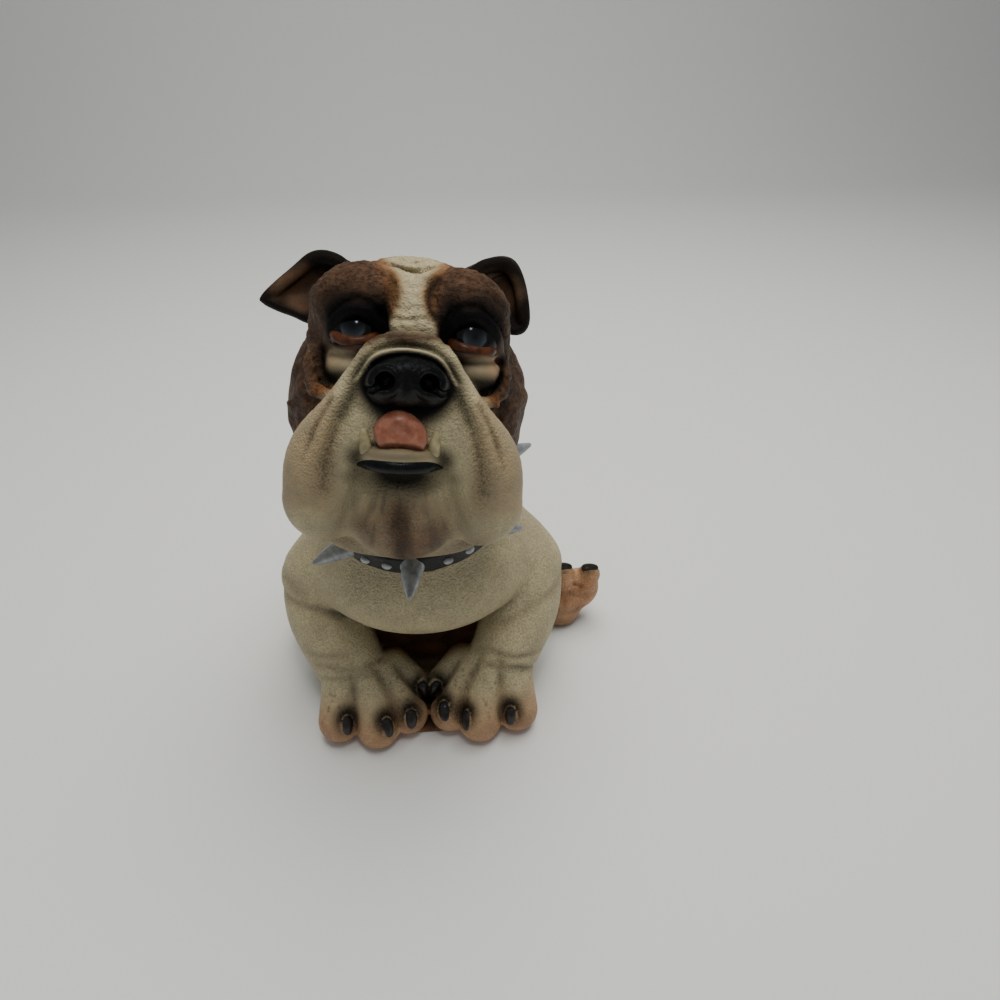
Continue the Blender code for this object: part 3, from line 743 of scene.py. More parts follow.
def put(tree, kind, inputs=None, out=0, **settings):
    """Add a node with its settings; inputs are numbers, colours or other nodes' outputs."""
    made = tree.nodes.new("ShaderNode" + kind)
    for name, value in settings.items():
        setattr(made, name, value)
    for name, value in (inputs or {}).items():
        if isinstance(value, bpy.types.NodeSocket):
            tree.links.new(value, made.inputs[name])
        else:
            made.inputs[name].default_value = value
    return made.outputs[out]


def blend(tree, amount, under, over):
    """One colour laid over another."""
    return put(tree, "Mix", {0: amount, 6: under, 7: over}, 2, data_type="RGBA")


def two_tone(tree, pattern, start, end, low, high):
    """A paint that runs from one hex colour to another while a pattern runs from start to end."""
    share = put(tree, "MapRange", {0: pattern, 1: start, 2: end})
    return blend(tree, share, paint(low), paint(high))


def painted(tree, shader, colour, height, strength, distance=0.0003):
    """Give the shader its colour and a fine relief."""
    tree.links.new(colour, shader.inputs["Base Color"])
    tree.links.new(put(tree, "Bump", {"Strength": strength, "Distance": distance, "Height": height}),
                   shader.inputs["Normal"])


def new_material(name, **sockets):
    """A material with its Principled shader's plain values set."""
    material = bpy.data.materials.new(name)
    material.use_nodes = True
    shader = material.node_tree.nodes["Principled BSDF"]
    for socket, value in sockets.items():
        shader.inputs[socket.replace("_", " ")].default_value = value
    return material, material.node_tree, shader


def coat_paint():
    """Cast polyester resin with brushed and airbrushed acrylics: a fine stubble is cast in, each colour is
    darker in its pits and lighter on its tips, and sprayed edges break up over it. The attributes hold
    each colour's share, with a dark wash that also stands for painted shade in the creases, and a painted
    highlight that greys the black on ridges."""
    material, tree, shader = new_material("brushed_acrylic_on_cast_resin", IOR=1.49)
    place = put(tree, "TexCoord", out="Object")
    share = {key: put(tree, "Attribute", attribute_name=key, out="Fac")
             for key in ("brown", "rust", "charcoal", "flesh", "coarse", "gloss", "grime", "ridge")}
    fine = put(tree, "TexNoise", {"Vector": place, "Scale": 1 / 0.0008, "Detail": 1.0, "Roughness": 0.5})
    rough = put(tree, "TexNoise", {"Vector": place, "Scale": 1 / 0.0017, "Detail": 3.0, "Roughness": 0.6})
    cloud = put(tree, "TexNoise", {"Vector": place, "Scale": 1 / 0.011, "Detail": 4.0, "Roughness": 0.6})
    stubble = put(tree, "Mix", {0: share["coarse"], 2: fine, 3: rough})
    relief = put(tree, "MapRange", {0: share["gloss"], 1: 0.0, 2: 0.5, 3: 1.0, 4: 0.0})

    def broken(amount, spread):
        """The share of a paint with its half-covered places decided by the stubble."""
        bare = put(tree, "Math", {0: 1.0, 1: amount}, operation="SUBTRACT")
        half = put(tree, "Math", {0: amount, 1: bare}, operation="MULTIPLY")
        half = put(tree, "Math", {0: half, 1: relief}, operation="MULTIPLY")
        lift = put(tree, "Math", {0: stubble, 1: 0.5}, operation="SUBTRACT")
        lift = put(tree, "Math", {0: lift, 1: 4 * spread}, operation="MULTIPLY")
        swing = put(tree, "Math", {0: lift, 1: half}, operation="MULTIPLY")
        return put(tree, "Clamp", {0: put(tree, "Math", {0: amount, 1: swing}, operation="ADD")})

    colour = two_tone(tree, cloud, 0.35, 0.65, "#a89b7b", "#b8ab86")
    for key, low, high, spread in (("brown", "#3f2b1d", "#5f4531", 1.1), ("rust", "#5f3a20", "#8f5c30", 1.1),
                                   ("flesh", "#a8714b", "#c8936c", 1.0)):
        coat = two_tone(tree, cloud, 0.35, 0.65, low, high)
        colour = blend(tree, broken(share[key], spread), colour, coat)
    even = put(tree, "MapRange", {0: stubble, 1: 0.33, 2: 0.67, 3: 0.80, 4: 1.15})
    uneven = put(tree, "MapRange", {0: stubble, 1: 0.33, 2: 0.67, 3: 0.50, 4: 1.35})
    tone = put(tree, "Mix", {0: share["coarse"], 2: even, 3: uneven})
    tone = put(tree, "Mix", {0: relief, 2: 1.0, 3: tone})
    colour = put(tree, "VectorMath", {0: colour, "Scale": tone}, operation="SCALE")
    # on ridges the black is laid a lighter grey: a painted highlight, laid on like dry-brushing
    charcoal = blend(tree, share["ridge"], paint("#0b0a0a"), paint("#211f1f"))
    # a dark brown wash in creases and hollows, also standing for painted shade there, and stains
    colour = blend(tree, share["grime"], colour, paint("#2b2018"))
    colour = blend(tree, broken(share["charcoal"], 0.8), colour, charcoal)
    tree.links.new(put(tree, "MapRange", {0: share["gloss"], 3: 0.6, 4: 0.24}), shader.inputs["Roughness"])
    # the sprayed black is dead matt
    tree.links.new(put(tree, "MapRange", {0: share["charcoal"], 3: 0.5, 4: 0.1}),
                   shader.inputs["Specular IOR Level"])
    painted(tree, shader, colour, stubble, put(tree, "Math", {0: relief, 1: 0.8}, operation="MULTIPLY"),
            put(tree, "MapRange", {0: share["coarse"], 3: 0.0008, 4: 0.002}))
    return material


def nose_enamel():
    """Black satin enamel over a pebbled casting, greyer where it is worn."""
    material, tree, shader = new_material("black_enamel_on_cast_resin", Roughness=0.36, IOR=1.33)
    place = put(tree, "TexCoord", out="Object")
    pebbles = put(tree, "TexVoronoi", {"Vector": place, "Scale": 1 / 0.0012})
    worn = put(tree, "TexNoise", {"Vector": place, "Scale": 1 / 0.003, "Detail": 4.0})
    painted(tree, shader, two_tone(tree, worn, 0.45, 0.7, "#060606", "#161616"), pebbles, 0.35)
    return material


def eye_enamel():
    """Eyes painted on the casting and varnished: a black ball, a smoky blue-grey iris with fine rays and a
    dark pupil, shaded with black from above. The attributes are the angle from the gaze, 1 at a right angle
    to it, and the share of that shade."""
    material, tree, shader = new_material("varnished_eye_paint", Roughness=0.12, IOR=1.38)
    angle = put(tree, "Attribute", attribute_name="gaze_angle", out="Fac")
    place = put(tree, "TexCoord", out="Object")
    rays = put(tree, "TexNoise", {"Vector": place, "Scale": 1 / 0.0012, "Detail": 3.0})
    sway = put(tree, "Math", {0: rays, 1: 0.07}, operation="MULTIPLY")
    tone = put(tree, "ValToRGB", {0: put(tree, "Math", {0: angle, 1: sway}, operation="ADD")})
    ramp = tone.node.color_ramp
    stops = ((0.0, "#0a0b0c"), (0.06, "#0f1113"), (0.10, "#1b1d1f"), (0.20, "#2d3135"), (0.275, "#43484b"),
             (0.31, "#141618"), (0.35, "#0a0909"), (1.0, "#090807"))
    ramp.elements[0].position, ramp.elements[0].color = stops[0][0], paint(stops[0][1])
    ramp.elements[1].position, ramp.elements[1].color = stops[-1][0], paint(stops[-1][1])
    for where, code in stops[1:-1]:
        ramp.elements.new(where).color = paint(code)
    shade = put(tree, "Attribute", attribute_name="shade", out="Fac")
    tree.links.new(blend(tree, shade, tone, paint("#070708")), shader.inputs["Base Color"])
    return material


def varnished(name, low, high, roughness, period=0.003, bump=0.1, ior=1.49):
    """Smooth acrylic under varnish, cloudy between two tones of one colour."""
    material, tree, shader = new_material(name, Roughness=roughness, IOR=ior)
    place = put(tree, "TexCoord", out="Object")
    cloud = put(tree, "TexNoise", {"Vector": place, "Scale": 1 / period, "Detail": 4.0, "Roughness": 0.6})
    painted(tree, shader, two_tone(tree, cloud, 0.35, 0.65, low, high), cloud, bump)
    return material


def silver_paint():
    """Aluminium-flake paint brushed on the casting: half metallic, streaky, darker where it is thin."""
    material, tree, shader = new_material("brushed_silver_paint", Metallic=0.35, Roughness=0.42)
    place = put(tree, "TexCoord", out="Object")
    streaks = put(tree, "TexNoise", {"Vector": place, "Scale": 1 / 0.0045, "Detail": 5.0, "Roughness": 0.65,
                                     "Distortion": 0.5})
    painted(tree, shader, two_tone(tree, streaks, 0.38, 0.62, "#8a8d8f", "#b4b7b9"), streaks, 0.25)
    return material


def band_paint():
    """The collar: satin black acrylic over a strap cast with a leather grain."""
    material, tree, shader = new_material("satin_black_acrylic_strap", Roughness=0.42, IOR=1.36)
    place = put(tree, "TexCoord", out="Object")
    grain = put(tree, "TexVoronoi", {"Vector": place, "Scale": 1 / 0.0011})
    cloud = put(tree, "TexNoise", {"Vector": place, "Scale": 1 / 0.004, "Detail": 4.0})
    painted(tree, shader, two_tone(tree, cloud, 0.4, 0.7, "#0a0a0b", "#1a1a1c"), grain, 0.5)
    return material


# ---- where each paint goes -----------------------------------------------------------------------

def patch(points, centre, radii, fade=0.5):
    """1 inside an ellipsoid, fading to 0 over a share of its radius either side of its edge."""
    away = np.linalg.norm((points - np.asarray(centre, float)) / np.asarray(radii, float), axis=1)
    return 1 - smooth(away, 1 - fade, 1 + fade)


def sprayed(points, path, width):
    """A soft airbrushed line seen from the front of the face: 1 on it, gone at twice its width."""
    gap, _ = along_path(points[:, [0, 2]], spline(path))
    return np.exp(-(gap / width) ** 2) * (points[:, 1] < 4)


def either(*shares):
    """Paints laid over one another: what is left bare shrinks with each."""
    bare = 1.0
    for share in shares:
        bare = bare * (1 - np.clip(share, 0, 1))
    return 1 - bare


def muzzle_share(p, slack=0.0):
    """1 on the muzzle, the lip, the chin and the nose's roll, 0 beyond the mask's edge."""
    held = p.copy()
    held[:, 1] = np.maximum(p[:, 1], -26)
    return 1 - smooth(MUZZLE.depth(held) + slack, 1.0, 4.5)


def beside(side, path):
    return [(side * x, z) for x, z in path]


def chin_strokes(p):
    """Fine strokes that spread down the chin from the mouth."""
    x, y, z = p.T
    fan = np.arctan2(x, -(z - 10))
    return lattice_noise(np.column_stack([fan * 34, z / 7, y / 20]), 1.0, 14)


BROW_STREAKS = {-1: [(-7, 42.5), (-5.1, 39), (-4.3, 35.5), (-4.9, 32), (-6.8, 29)],
                1: [(9.2, 42.5), (6.8, 38.2), (6, 34.3), (6.8, 31), (8.8, 28)]}


def head_paint(points, hollow):
    """Shares of each paint on the head and neck."""
    p = to_head(points)
    x, y, z = p.T
    wobble = 1.2 * lattice_noise(p, 5.0, 3) + 0.6 * lattice_noise(p, 2.0, 4)
    pouches = sum(patch(p, (side * 20.6 + EYE_DRIFT, -15, 10.8), (11, 9.5, 8), 0.12) for side in SIDES)
    pouches = np.clip(pouches, 0, 1) * smooth(y, -25.5, -23.5)
    mask = muzzle_share(p, wobble) * (1 - pouches)
    blaze_width = np.interp(z, [18, 24, 30, 36, 42, 46, 52], [11, 8.5, 6.6, 5.2, 6.4, 9.5, 13])
    off_middle = np.abs(x - 0.5)
    blaze = 1 - smooth(off_middle + 0.5 * wobble, blaze_width - 1.5, blaze_width + 2.5)
    blaze = blaze * smooth(z, 20, 24) * (1 - smooth(y, 0, 12))
    throat = 1 - smooth(z - 0.25 * y + wobble, -24, -14)
    brown = 1 - either(mask, blaze, throat, pouches)
    # the sprayed rust runs along the edges of the blaze and of the mask
    edge = muzzle_share(p, wobble - 3.5) * (1 - 0.6 * mask) * smooth(np.abs(x), 19, 26)
    edge = edge * (1 - smooth(z, 2, 8)) * smooth(z, -42, -34)
    sides = np.exp(-((off_middle - blaze_width) / 2.6) ** 2)
    sides = sides * smooth(z, 24, 30) * (1 - smooth(y, 0, 12))
    rust = either(0.8 * edge, 0.78 * sides)
    rust = either(rust, 0.5 * patch(p, (0, -8, 52), (15, 12, 4), 0.6) * (1 - blaze),
                  0.45 * smooth(-hollow, 0.2, 0.9) * brown)
    roll = patch(p, (0, -32, 21), (13, 8, 4.6), 0.5)
    brown = either(brown, 0.4 * roll)
    charcoal = 0.35 * roll
    flesh = np.zeros(len(p))
    gloss = np.zeros(len(p))
    front = 1 - smooth(y, -8, -2)
    for side in SIDES:
        q = p - (EYE_DRIFT, 0, 0)
        charcoal = either(charcoal, patch(q, (side * 18.5, -18, 25), (13, 10, 10), 0.2) * front,
                          0.9 * patch(q, (side * 12, -18, 27), (5, 8, 10), 0.5) * front,
                          0.7 * patch(q, (side * 21, -18, 32), (13, 10, 7.0), 0.5) * front)
        # the pouch is smooth; the dark band under the lid, and the black where it hangs in its fold, inside
        # and outside it, are painted shade
        pouch = patch(q, (side * 21.6, -18, 12.4), (8.2, 7.5, 4.4), 0.3) * (1 - mask)
        charcoal = charcoal * (1 - 0.88 * pouch)
        brown = either(brown, 0.42 * pouch)
        outer = patch(q, (side * 29, -16, 12), (4, 7, 6), 0.5) * (1 - mask)
        flesh = either(flesh, (0.15, 0.5)[side > 0] * outer)
        rim = [(28, 14.6), (20, 13.8), (12, 15)]
        fold = [(31.5, 17), (30.5, 8), (25, 4.2), (18, 4.4), (12, 8)]
        dark = either(0.75 * sprayed(q, beside(side, rim), 1.4),
                      0.95 * patch(q, (side * 13.5, -18, 10), (6.5, 9, 8.5), 0.6),
                      0.95 * pouches * (q[:, 0] * side > 0) * (1 - smooth(z, 7.5, 12)),
                      0.98 * sprayed(q, beside(side, fold), 2.0))
        charcoal = either(charcoal, dark * (1 - mask))
        wet = patch(q, (side * 19.5, -18, 19), (13, 10, 15), 0.3) * front * (1 - mask)
        gloss = either(gloss, 0.45 * wet)
        # creases and soft shadows sprayed on the face
        charcoal = either(
            charcoal,
            0.5 * sprayed(p, beside(side, [(13.5, 12), (17.4, 2), (20, -5)]), 2.4),
            0.25 * sprayed(p, beside(side, CHEEK_LINE), 1.2),
            0.32 * sprayed(p, beside(side, CHEEK_LINE), 3.6),
            0.35 * sprayed(p, beside(side, JOWL_LINE), 1.0),
            0.12 * sprayed(p, beside(side, [(15.5, -20), (17, -30), (20.5, -42)]), 2.6),
            (0.55, 0.85)[side > 0] * sprayed(p, BROW_STREAKS[side], 1.5),
            0.22 * sprayed(p, beside(side, [(25, -24), (23, -34), (24, -44)]), 5.5))
    # black round the nose and along the mouth: the muzzle's black paint, deepened as painted shade under the
    # nose and under the lower lip
    charcoal = either(charcoal, patch(p, (0.5, -37, 6.0), (16.2, 14, 10.6), 0.1),
                      0.85 * patch(p, (0.5, -36, 2.0), (17.5, 9, 9), 0.3),
                      0.95 * patch(p, (0.2, -36, -2.5), (11.5, 8, 6.5), 0.45),
                      0.95 * patch(p, (MOUTH_DRIFT, -31, -14.2), (15, 5, 2.6), 0.4),
                      0.97 * patch(p, (MOUTH_DRIFT, -33, -25.4), (16, 8, 4.2), 0.5))
    # the thin ridge in front of the nose's roll is kept cream, partly as a painted highlight, and the groove
    # above it is sprayed dark as painted shade
    arch = [(-16.4, 6.4), (-9.8, 14.7), (0, 16.8), (9.8, 14.7), (16.4, 6.4)]
    charcoal = charcoal * (1 - 0.85 * sprayed(p, arch, 0.6) * (1 - smooth(y, -34, -30)))
    arch = [(-17, 7), (-10.6, 15.6), (0, 18.0), (10.6, 15.6), (17, 7)]
    charcoal = either(charcoal, 0.65 * sprayed(p, arch, 0.9) * (1 - smooth(y, -34, -30)))
    gloss = either(gloss, 0.5 * patch(p, (0, -39.5, 6), (17.5, 6, 11), 0.15))
    lip = patch(p, (MOUTH_DRIFT, -38, -16.8), (13.5, 5, 2.4), 0.3)
    charcoal = charcoal * (1 - 0.92 * lip)
    brown = either(brown, 0.45 * lip)
    gloss = either(gloss, 0.5 * patch(p, (MOUTH_DRIFT, -37, -18), (15, 6, 4), 0.2))
    # the chin is brushed darker down its middle, in two patches beside it and along its lower edge
    low = 1 - smooth(z, -31, -26)
    edge = [(-26, -52), (-13, -56.5), (0, -57.5), (14, -56), (27, -51)]
    brown = either(brown, 0.8 * sprayed(p, [(-1.5, -37), (-1, -44), (0.5, -56)], 5.0) * low,
                   0.15 * patch(p, (0, -28, -42), (17, 14, 12), 0.5) * low,
                   0.55 * sprayed(p, edge, 5.5),
                   0.7 * patch(p, (12.5, -26, -46), (5, 12, 6), 0.7),
                   0.5 * patch(p, (-13, -26, -47), (5, 12, 6), 0.7))
    # a dark streak down the chin's middle, and black at the mouth's corners as painted shade where the jowls
    # fold over them
    charcoal = either(charcoal, 0.5 * sprayed(p, [(-1, -40), (-0.5, -47), (0.5, -56)], 3.4) * low,
                      0.95 * patch(p, (MOUTH_DRIFT - 13.5, -31, -18), (4.5, 6, 4.5), 0.6),
                      0.95 * patch(p, (MOUTH_DRIFT + 13.5, -31, -18), (4.5, 6, 4.5), 0.6))
    rust = either(rust, 0.6 * patch(p, (6.5, -28, -51), (4, 12, 7), 0.7) * low,
                  0.38 * patch(p, (0, -28, -44), (16, 14, 12), 0.5) * low)
    coarse = either(brown * smooth(z, -26, -18), 0.6 * blaze)
    chin = patch(p, (0, -28, -43), (20, 16, 14), 0.5) * low
    stain = either((0.25 + 0.4 * smooth(chin_strokes(p), -0.2, 0.8)) * chin, 0.3 * lip)
    # the creases get a dark wash with painted shade, over the chin's and lip's stains; the ridges get a
    # painted highlight
    grime = either(0.8 * smooth(hollow, 0.10, 0.75) * (1 - 0.5 * gloss), stain)
    return {"brown": brown, "rust": rust, "charcoal": charcoal, "flesh": flesh, "coarse": coarse,
            "gloss": gloss, "grime": grime, "ridge": smooth(-hollow, 0.1, 0.7)}


def body_paint(points, hollow):
    """Shares of each paint on the body, legs and feet."""
    x, y, z = points.T
    zero = np.zeros(len(points))
    charcoal = zero
    for middle, axes in claw_places():
        fore = middle[1] < 0
        back, spread = (2.8, (5.2, 6.0, 6.0)) if fore else (1.0, 4.0)
        smoke = patch(points, middle - back * axes[:, 2], spread, 0.6)
        local = (points - middle) @ axes / CLAW_SIZE
        rim = np.hypot(local[:, 0], local[:, 2]) + 3 * (np.abs(local[:, 1]) > 2)
        charcoal = either(charcoal, 0.98 * smoke) * (1 - 0.8 * np.exp(-((rim - 1.02) / 0.09) ** 2))
    paws = (1 - smooth(y, -44, -36)) * (1 - smooth(z, 2.5, 9))
    flesh = either(0.85 * paws, 0.5 * (1 - smooth(y, -40, -28)) * (1 - smooth(z, 9, 24)))
    rust = either(0.6 * (1 - smooth(y, -46, -40)) * (1 - smooth(z, 1, 6)),
                  0.42 * (1 - smooth(y, -42, -34)) * (1 - smooth(z, 10, 26)))
    # a dark wash along each pressed fold and toe line, standing also for painted shade in it
    fold_wash_and_shade = np.zeros(len(points))
    for kind, line, _ in DOG.steps:
        if kind == "press" and line.deep > 0:
            fold_wash_and_shade = either(fold_wash_and_shade, 0.25 * min(line.deep, 1.6) * line.share(points, 1.2),
                          0.08 * line.share(points, 3.0))
    # black in the narrow gap between the forepaws at the floor, painted shade
    charcoal = either(charcoal, 0.85 * patch(points, (0, -44, 3), (6.5, 14, 8), 0.5))
    for side in SIDES:
        middle = side * (HIND_FEET[side] + 1)
        foot = patch(points, (middle, 9, 18), (16, 12, 26), 0.25)
        sole = patch(points, (middle, 6.5, 22), (12, 4, 11), 0.35)
        flesh = either(flesh, (0.55 + 0.35 * sole) * foot)
        rust = either(rust, 0.4 * foot * (1 - sole), 0.5 * foot * (1 - smooth(z, 4, 12)))
    # rust and brown in the hollow under the chest, between the forelegs; the charcoal at its top, under the
    # chest, is painted shade
    hollow_chest = patch(points, (0, -16, 24), (34, 16, 19), 0.3) * (1 - smooth(np.abs(x), 20, 32))
    rust = either(rust, 0.9 * hollow_chest)
    brown = 0.9 * patch(points, (0, -12, 26), (30, 14, 16), 0.3)
    charcoal = either(charcoal, 0.75 * patch(points, (0, -14, 30), (24, 14, 14), 0.5))
    specks = 0.6 * lattice_noise(points, 1.6, 21) + 0.5 * lattice_noise(points, 0.9, 22)
    specks = smooth(specks, 0.45, 0.6)
    paw_top = (1 - smooth(y, -42, -34)) * smooth(z, 10, 15) * (1 - smooth(z, 26, 32))
    brown = either(brown, 0.6 * specks * paw_top)
    # dark wash and painted shade in the creases and along the folds; a weaker painted highlight on ridges
    grime = either(0.75 * smooth(hollow, 0.12, 0.7), fold_wash_and_shade)
    return {"brown": brown, "rust": rust, "charcoal": charcoal, "flesh": flesh, "coarse": 0.15 + zero,
            "gloss": zero, "grime": grime, "ridge": 0.4 * smooth(-hollow, 0.1, 0.7)}


def ear_paint(side):
    def shares(points, hollow):
        """Charcoal on the rims and backs, rust-brown inside the hollow of each ear."""
        p = to_head(points)
        centre = (-40, 40) if side < 0 else (31, 43)
        away = np.hypot((p[:, 0] - centre[0]) / 13, (p[:, 2] - centre[1]) / 9)
        inside = 1 - smooth(away + 0.12 * lattice_noise(p, 4.0, 5), 0.5, 1.15)
        _, normals = EARS[side].outward(points)
        front = smooth(-(normals @ HEAD_TURN)[:, 1], 0.1, 0.7)
        zero = np.zeros(len(p))
        root = 1 - smooth(np.abs(p[:, 0]), *((19, 26) if side < 0 else (12, 17)))
        mottle = 0.5 + 0.5 * lattice_noise(p, 5.0, 17)
        # a dark wash with painted shade in the creases, and a painted highlight on the rims and ridges
        return {"brown": 0.95 + zero, "rust": 0.5 * inside * front * mottle, "flesh": zero,
                "charcoal": 0.93 * (1 - (0.95 - 0.35 * mottle) * inside * front) * (1 - 0.75 * root),
                "coarse": 0.3 + zero, "gloss": 0.3 + zero, "grime": 0.5 * smooth(hollow, 0.1, 0.7),
                "ridge": 0.8 * smooth(-hollow, 0.1, 0.6)}
    return shares


# ---- the pieces ----------------------------------------------------------------------------------

def skin(name, clay, low, high, step, shares, material, relief=None, keep=None, rounds=8):
    """A piece of painted casting: the clay's surface, its relief pushed out along the normals, and the
    shares of each paint on its vertices."""
    def depth_of(points, band):
        depth = clay.depth(points, band)
        return depth if keep is None else np.maximum(depth, keep(points))
    points, quads = sculpt(depth_of, low, high, step)
    pairs = edge_pairs(quads)
    normals = vertex_normals(points, quads)
    hollow = hollowness(points, normals, pairs, rounds)
    if relief is not None:
        points = points + normals * relief(points)[:, None]
    points[:, 2] = np.maximum(points[:, 2], 0)
    return new_piece(name, points, quads, material, shares(points, hollow))


def head_relief(points):
    """Carved fur in mm: lumps on the brows and blaze, long strokes bent round the cheeks, fine strokes that
    spread down the chin."""
    p = to_head(points)
    x, y, z = p.T
    side = np.sign(x)
    muzzled = muzzle_share(p)
    lumps = lattice_noise(p * (1, 1, 0.7), 1.7, 11) + 0.5 * lattice_noise(p, 1.1, 12)
    out = np.hypot(x - side * 24, z + 2)
    around = np.arctan2(z + 2, x - side * 24)
    strokes = lattice_noise(np.column_stack([out / 1.9, around * 3.2 + 40 * (side > 0), y / 14]), 1.0, 13)
    cheek = smooth(np.abs(x), 28, 34) * (1 - smooth(z, 14, 22)) * smooth(z, -34, -26) * (1 - muzzled)
    chin = patch(p, (0, -30, -42), (20, 20, 14), 0.4)
    bare = sum(patch(p, (s * 20 + EYE_DRIFT, -18, 17), (13, 12, 17), 0.1) for s in SIDES)
    fur = (1 - muzzled) * (1 - cheek) * (1 - np.clip(bare, 0, 1))
    return 0.4 * lumps * fur + 1.15 * strokes * cheek + 0.45 * chin_strokes(p) * chin


def ear_clay(side):
    """A folded leaf: a dished sheet with a rolled upper rim."""
    clay = Clay(HEAD_AT, HEAD_TURN)
    if side < 0:
        out = [(-24, 52), (-37, 54.6), (-47, 46.4), (-56, 36.6), (-55, 33.4), (-46, 30), (-34, 28.5)]
        clay.add(Flap(out, lambda x, z: 14 + 0.1 * (z - 40) + 0.1 * (x + 40), 6, 2.6, 2.4))
        rim = [(-22, 9, 46), (-29, 9.5, 50.5), (-36.5, 10.5, 50.8), (-44, 11, 44.6), (-53, 12, 36.4)]
        clay.add(bent_limb(rim, [2.4, 2.8, 2.9, 2.4, 1.4]), 2.5)
        clay.add(bent_limb([(-53.5, 12, 34.6), (-46, 13, 32.2), (-36, 13, 31)], [1.3, 1.5, 2.0]), 2)
    else:
        out = [(19.5, 52), (31, 57.2), (39, 56), (43.8, 46), (45.4, 32), (39, 27.5), (24, 34)]
        clay.add(Flap(out, lambda x, z: 14 + 0.1 * (z - 40), 6, 2.6, 2.4))
        rim = [(22, 12, 49.5), (28, 12, 52.8), (35.5, 13, 53.4), (40.4, 13, 46), (42.4, 12, 33.4)]
        clay.add(bent_limb(rim, [2.4, 2.8, 2.8, 2.2, 1.8]), 2.5)
        clay.add(bent_limb([(24, 12, 40), (28, 13, 48), (34, 15, 52)], [1.6, 1.5, 1.2]), 1.5)
    return clay


EARS = {side: ear_clay(side) for side in SIDES}


def eyeballs(material):
    """Spheres, a grid of two angles about the gaze, with the angle from the gaze kept for the paint."""
    parts, angles = [], []
    for side, gaze in ((-1, (-0.09, -1.0, 0.15)), (1, (0.08, -1.0, 0.04))):
        turn = np.linspace(0.02, np.pi - 0.02, 72)
        radii, heights = EYE_RADIUS * np.sin(turn), -EYE_RADIUS * np.cos(turn)
        points, faces = round_body(radii, heights, 96)
        angles.append(np.arccos(np.clip(points[:, 2] / EYE_RADIUS, -1, 1)) / (np.pi / 2))
        parts.append((from_head(set_at(points, eye_centre(side), gaze)), faces))
    points, faces = gathered(parts)
    rise = to_head(points)[:, 2] - eye_centre(1)[2]
    shade = either(0.97 * smooth(rise, -1.6, 3.6), smooth(-rise, 4.6, 5.6))
    shares = {"gaze_angle": np.concatenate(angles), "shade": shade}
    return new_piece("eyeballs", points, faces, material, shares)


def haws(material):
    """The wet lower lids: a flattened tube that hangs in a bow over the bottom of each eyeball."""
    share = np.linspace(-1, 1, 9)
    across = 9.3 * share
    parts = []
    for side, low, bow, slope in ((-1, -3.5, 3.6, 0.3), (1, -4.4, 2.6, -1.3)):
        up = low + bow * share**2 + slope * share
        out = -np.sqrt(EYE_RADIUS**2 - across**2 - up**2)
        path = eye_centre(side) + np.column_stack([across, out, up])
        points, faces = tube(path, 0.5 + 1.6 * (1 - share**4) ** 0.5, squash=0.6)
        parts.append((from_head(points), faces))
    points, faces = gathered(parts)
    return new_piece("lower_eyelids", points, faces, material)


def nose_clay():
    clay = Clay(HEAD_AT, HEAD_TURN)
    clay.add(Ball((0.3, -35.5, 6.2), (12.9, 8.7, 8.7)))
    clay.add(Ball((0.3, -38.5, 10.0), (9.5, 5.0, 4.2)), 3)
    for side in SIDES:
        clay.add(Ball((side * 7.6 + 0.3, -37.5, 4.6), (6.0, 7.2, 6.4)), 1.5)
    turn = np.linspace(0, 2 * np.pi, 13)
    for side in SIDES:
        across = side * 6.9 + 0.4
        rim = np.column_stack([across + 4.1 * np.cos(turn), -42.6 + 0.8 * np.cos(turn) * side,
                               6.2 + 3.9 * np.sin(turn)])
        clay.add(Limb(rim, 1.5), 1.5)
        clay.cut(Ball((across, -43.6, 6.0), (3.0, 4.2, 2.8)), 0.8)
        slit = [(side * 8 + 0.3, -43.5, 4.6), (side * 11 + 0.3, -42, 3), (side * 13.5 + 0.3, -38, 3.4)]
        clay.cut(bent_limb(slit, [1.6, 1.2, 0.8]), 1.0)
    clay.cut(Limb([(0.3, -46.0, 9.5), (0.3, -44.5, -3)], [1.2, 1.5]), 2.0)
    return clay


def tongue_clay():
    """A broad dome with a dished front, a groove down its middle and a flat foot behind the lip."""
    clay = Clay(HEAD_AT, HEAD_TURN)
    clay.add(Ball((MOUTH_DRIFT - 0.8, -37.2, -10.0), (7.7, 3.9, 7.4), turned(x=-4)))
    clay.add(Ball((MOUTH_DRIFT + 1.8, -37.2, -11.6), (7.0, 3.9, 7.4), turned(x=-4)), 2)
    clay.cut(Ball((MOUTH_DRIFT + 0.3, -45.6, -11.4), (7.4, 6.4, 7.6), turned(x=-4)), 1.0)
    clay.cut(Limb([(MOUTH_DRIFT + 0.5, -42.4, -15.5), (MOUTH_DRIFT + 0.3, -41.6, -9)], [1.2, 0.5]), 1.5)
    clay.cut(Ball((MOUTH_DRIFT, -42, -21.0), (15, 7.5, 8)), 0.5)
    return clay


def fangs(material):
    """Lower canines: a tube with a bent axis, full at the root and blunt at the tip."""
    parts = []
    for side in SIDES:
        path = [(side * 10.9 + MOUTH_DRIFT, -34.2, -18), (side * 11.2 + MOUTH_DRIFT, -36.0, -14.5),
                (side * 11.7 + MOUTH_DRIFT, -36.9, -11), (side * 12.0 + MOUTH_DRIFT, -37.1, -8.0)]
        points, faces = tube(path, [2.1, 2.0, 1.4, 0.4], squash=0.8, up=(1, 0, 0))
        parts.append((from_head(points), faces))
    points, faces = gathered(parts)
    return new_piece("fangs", points, faces, material)


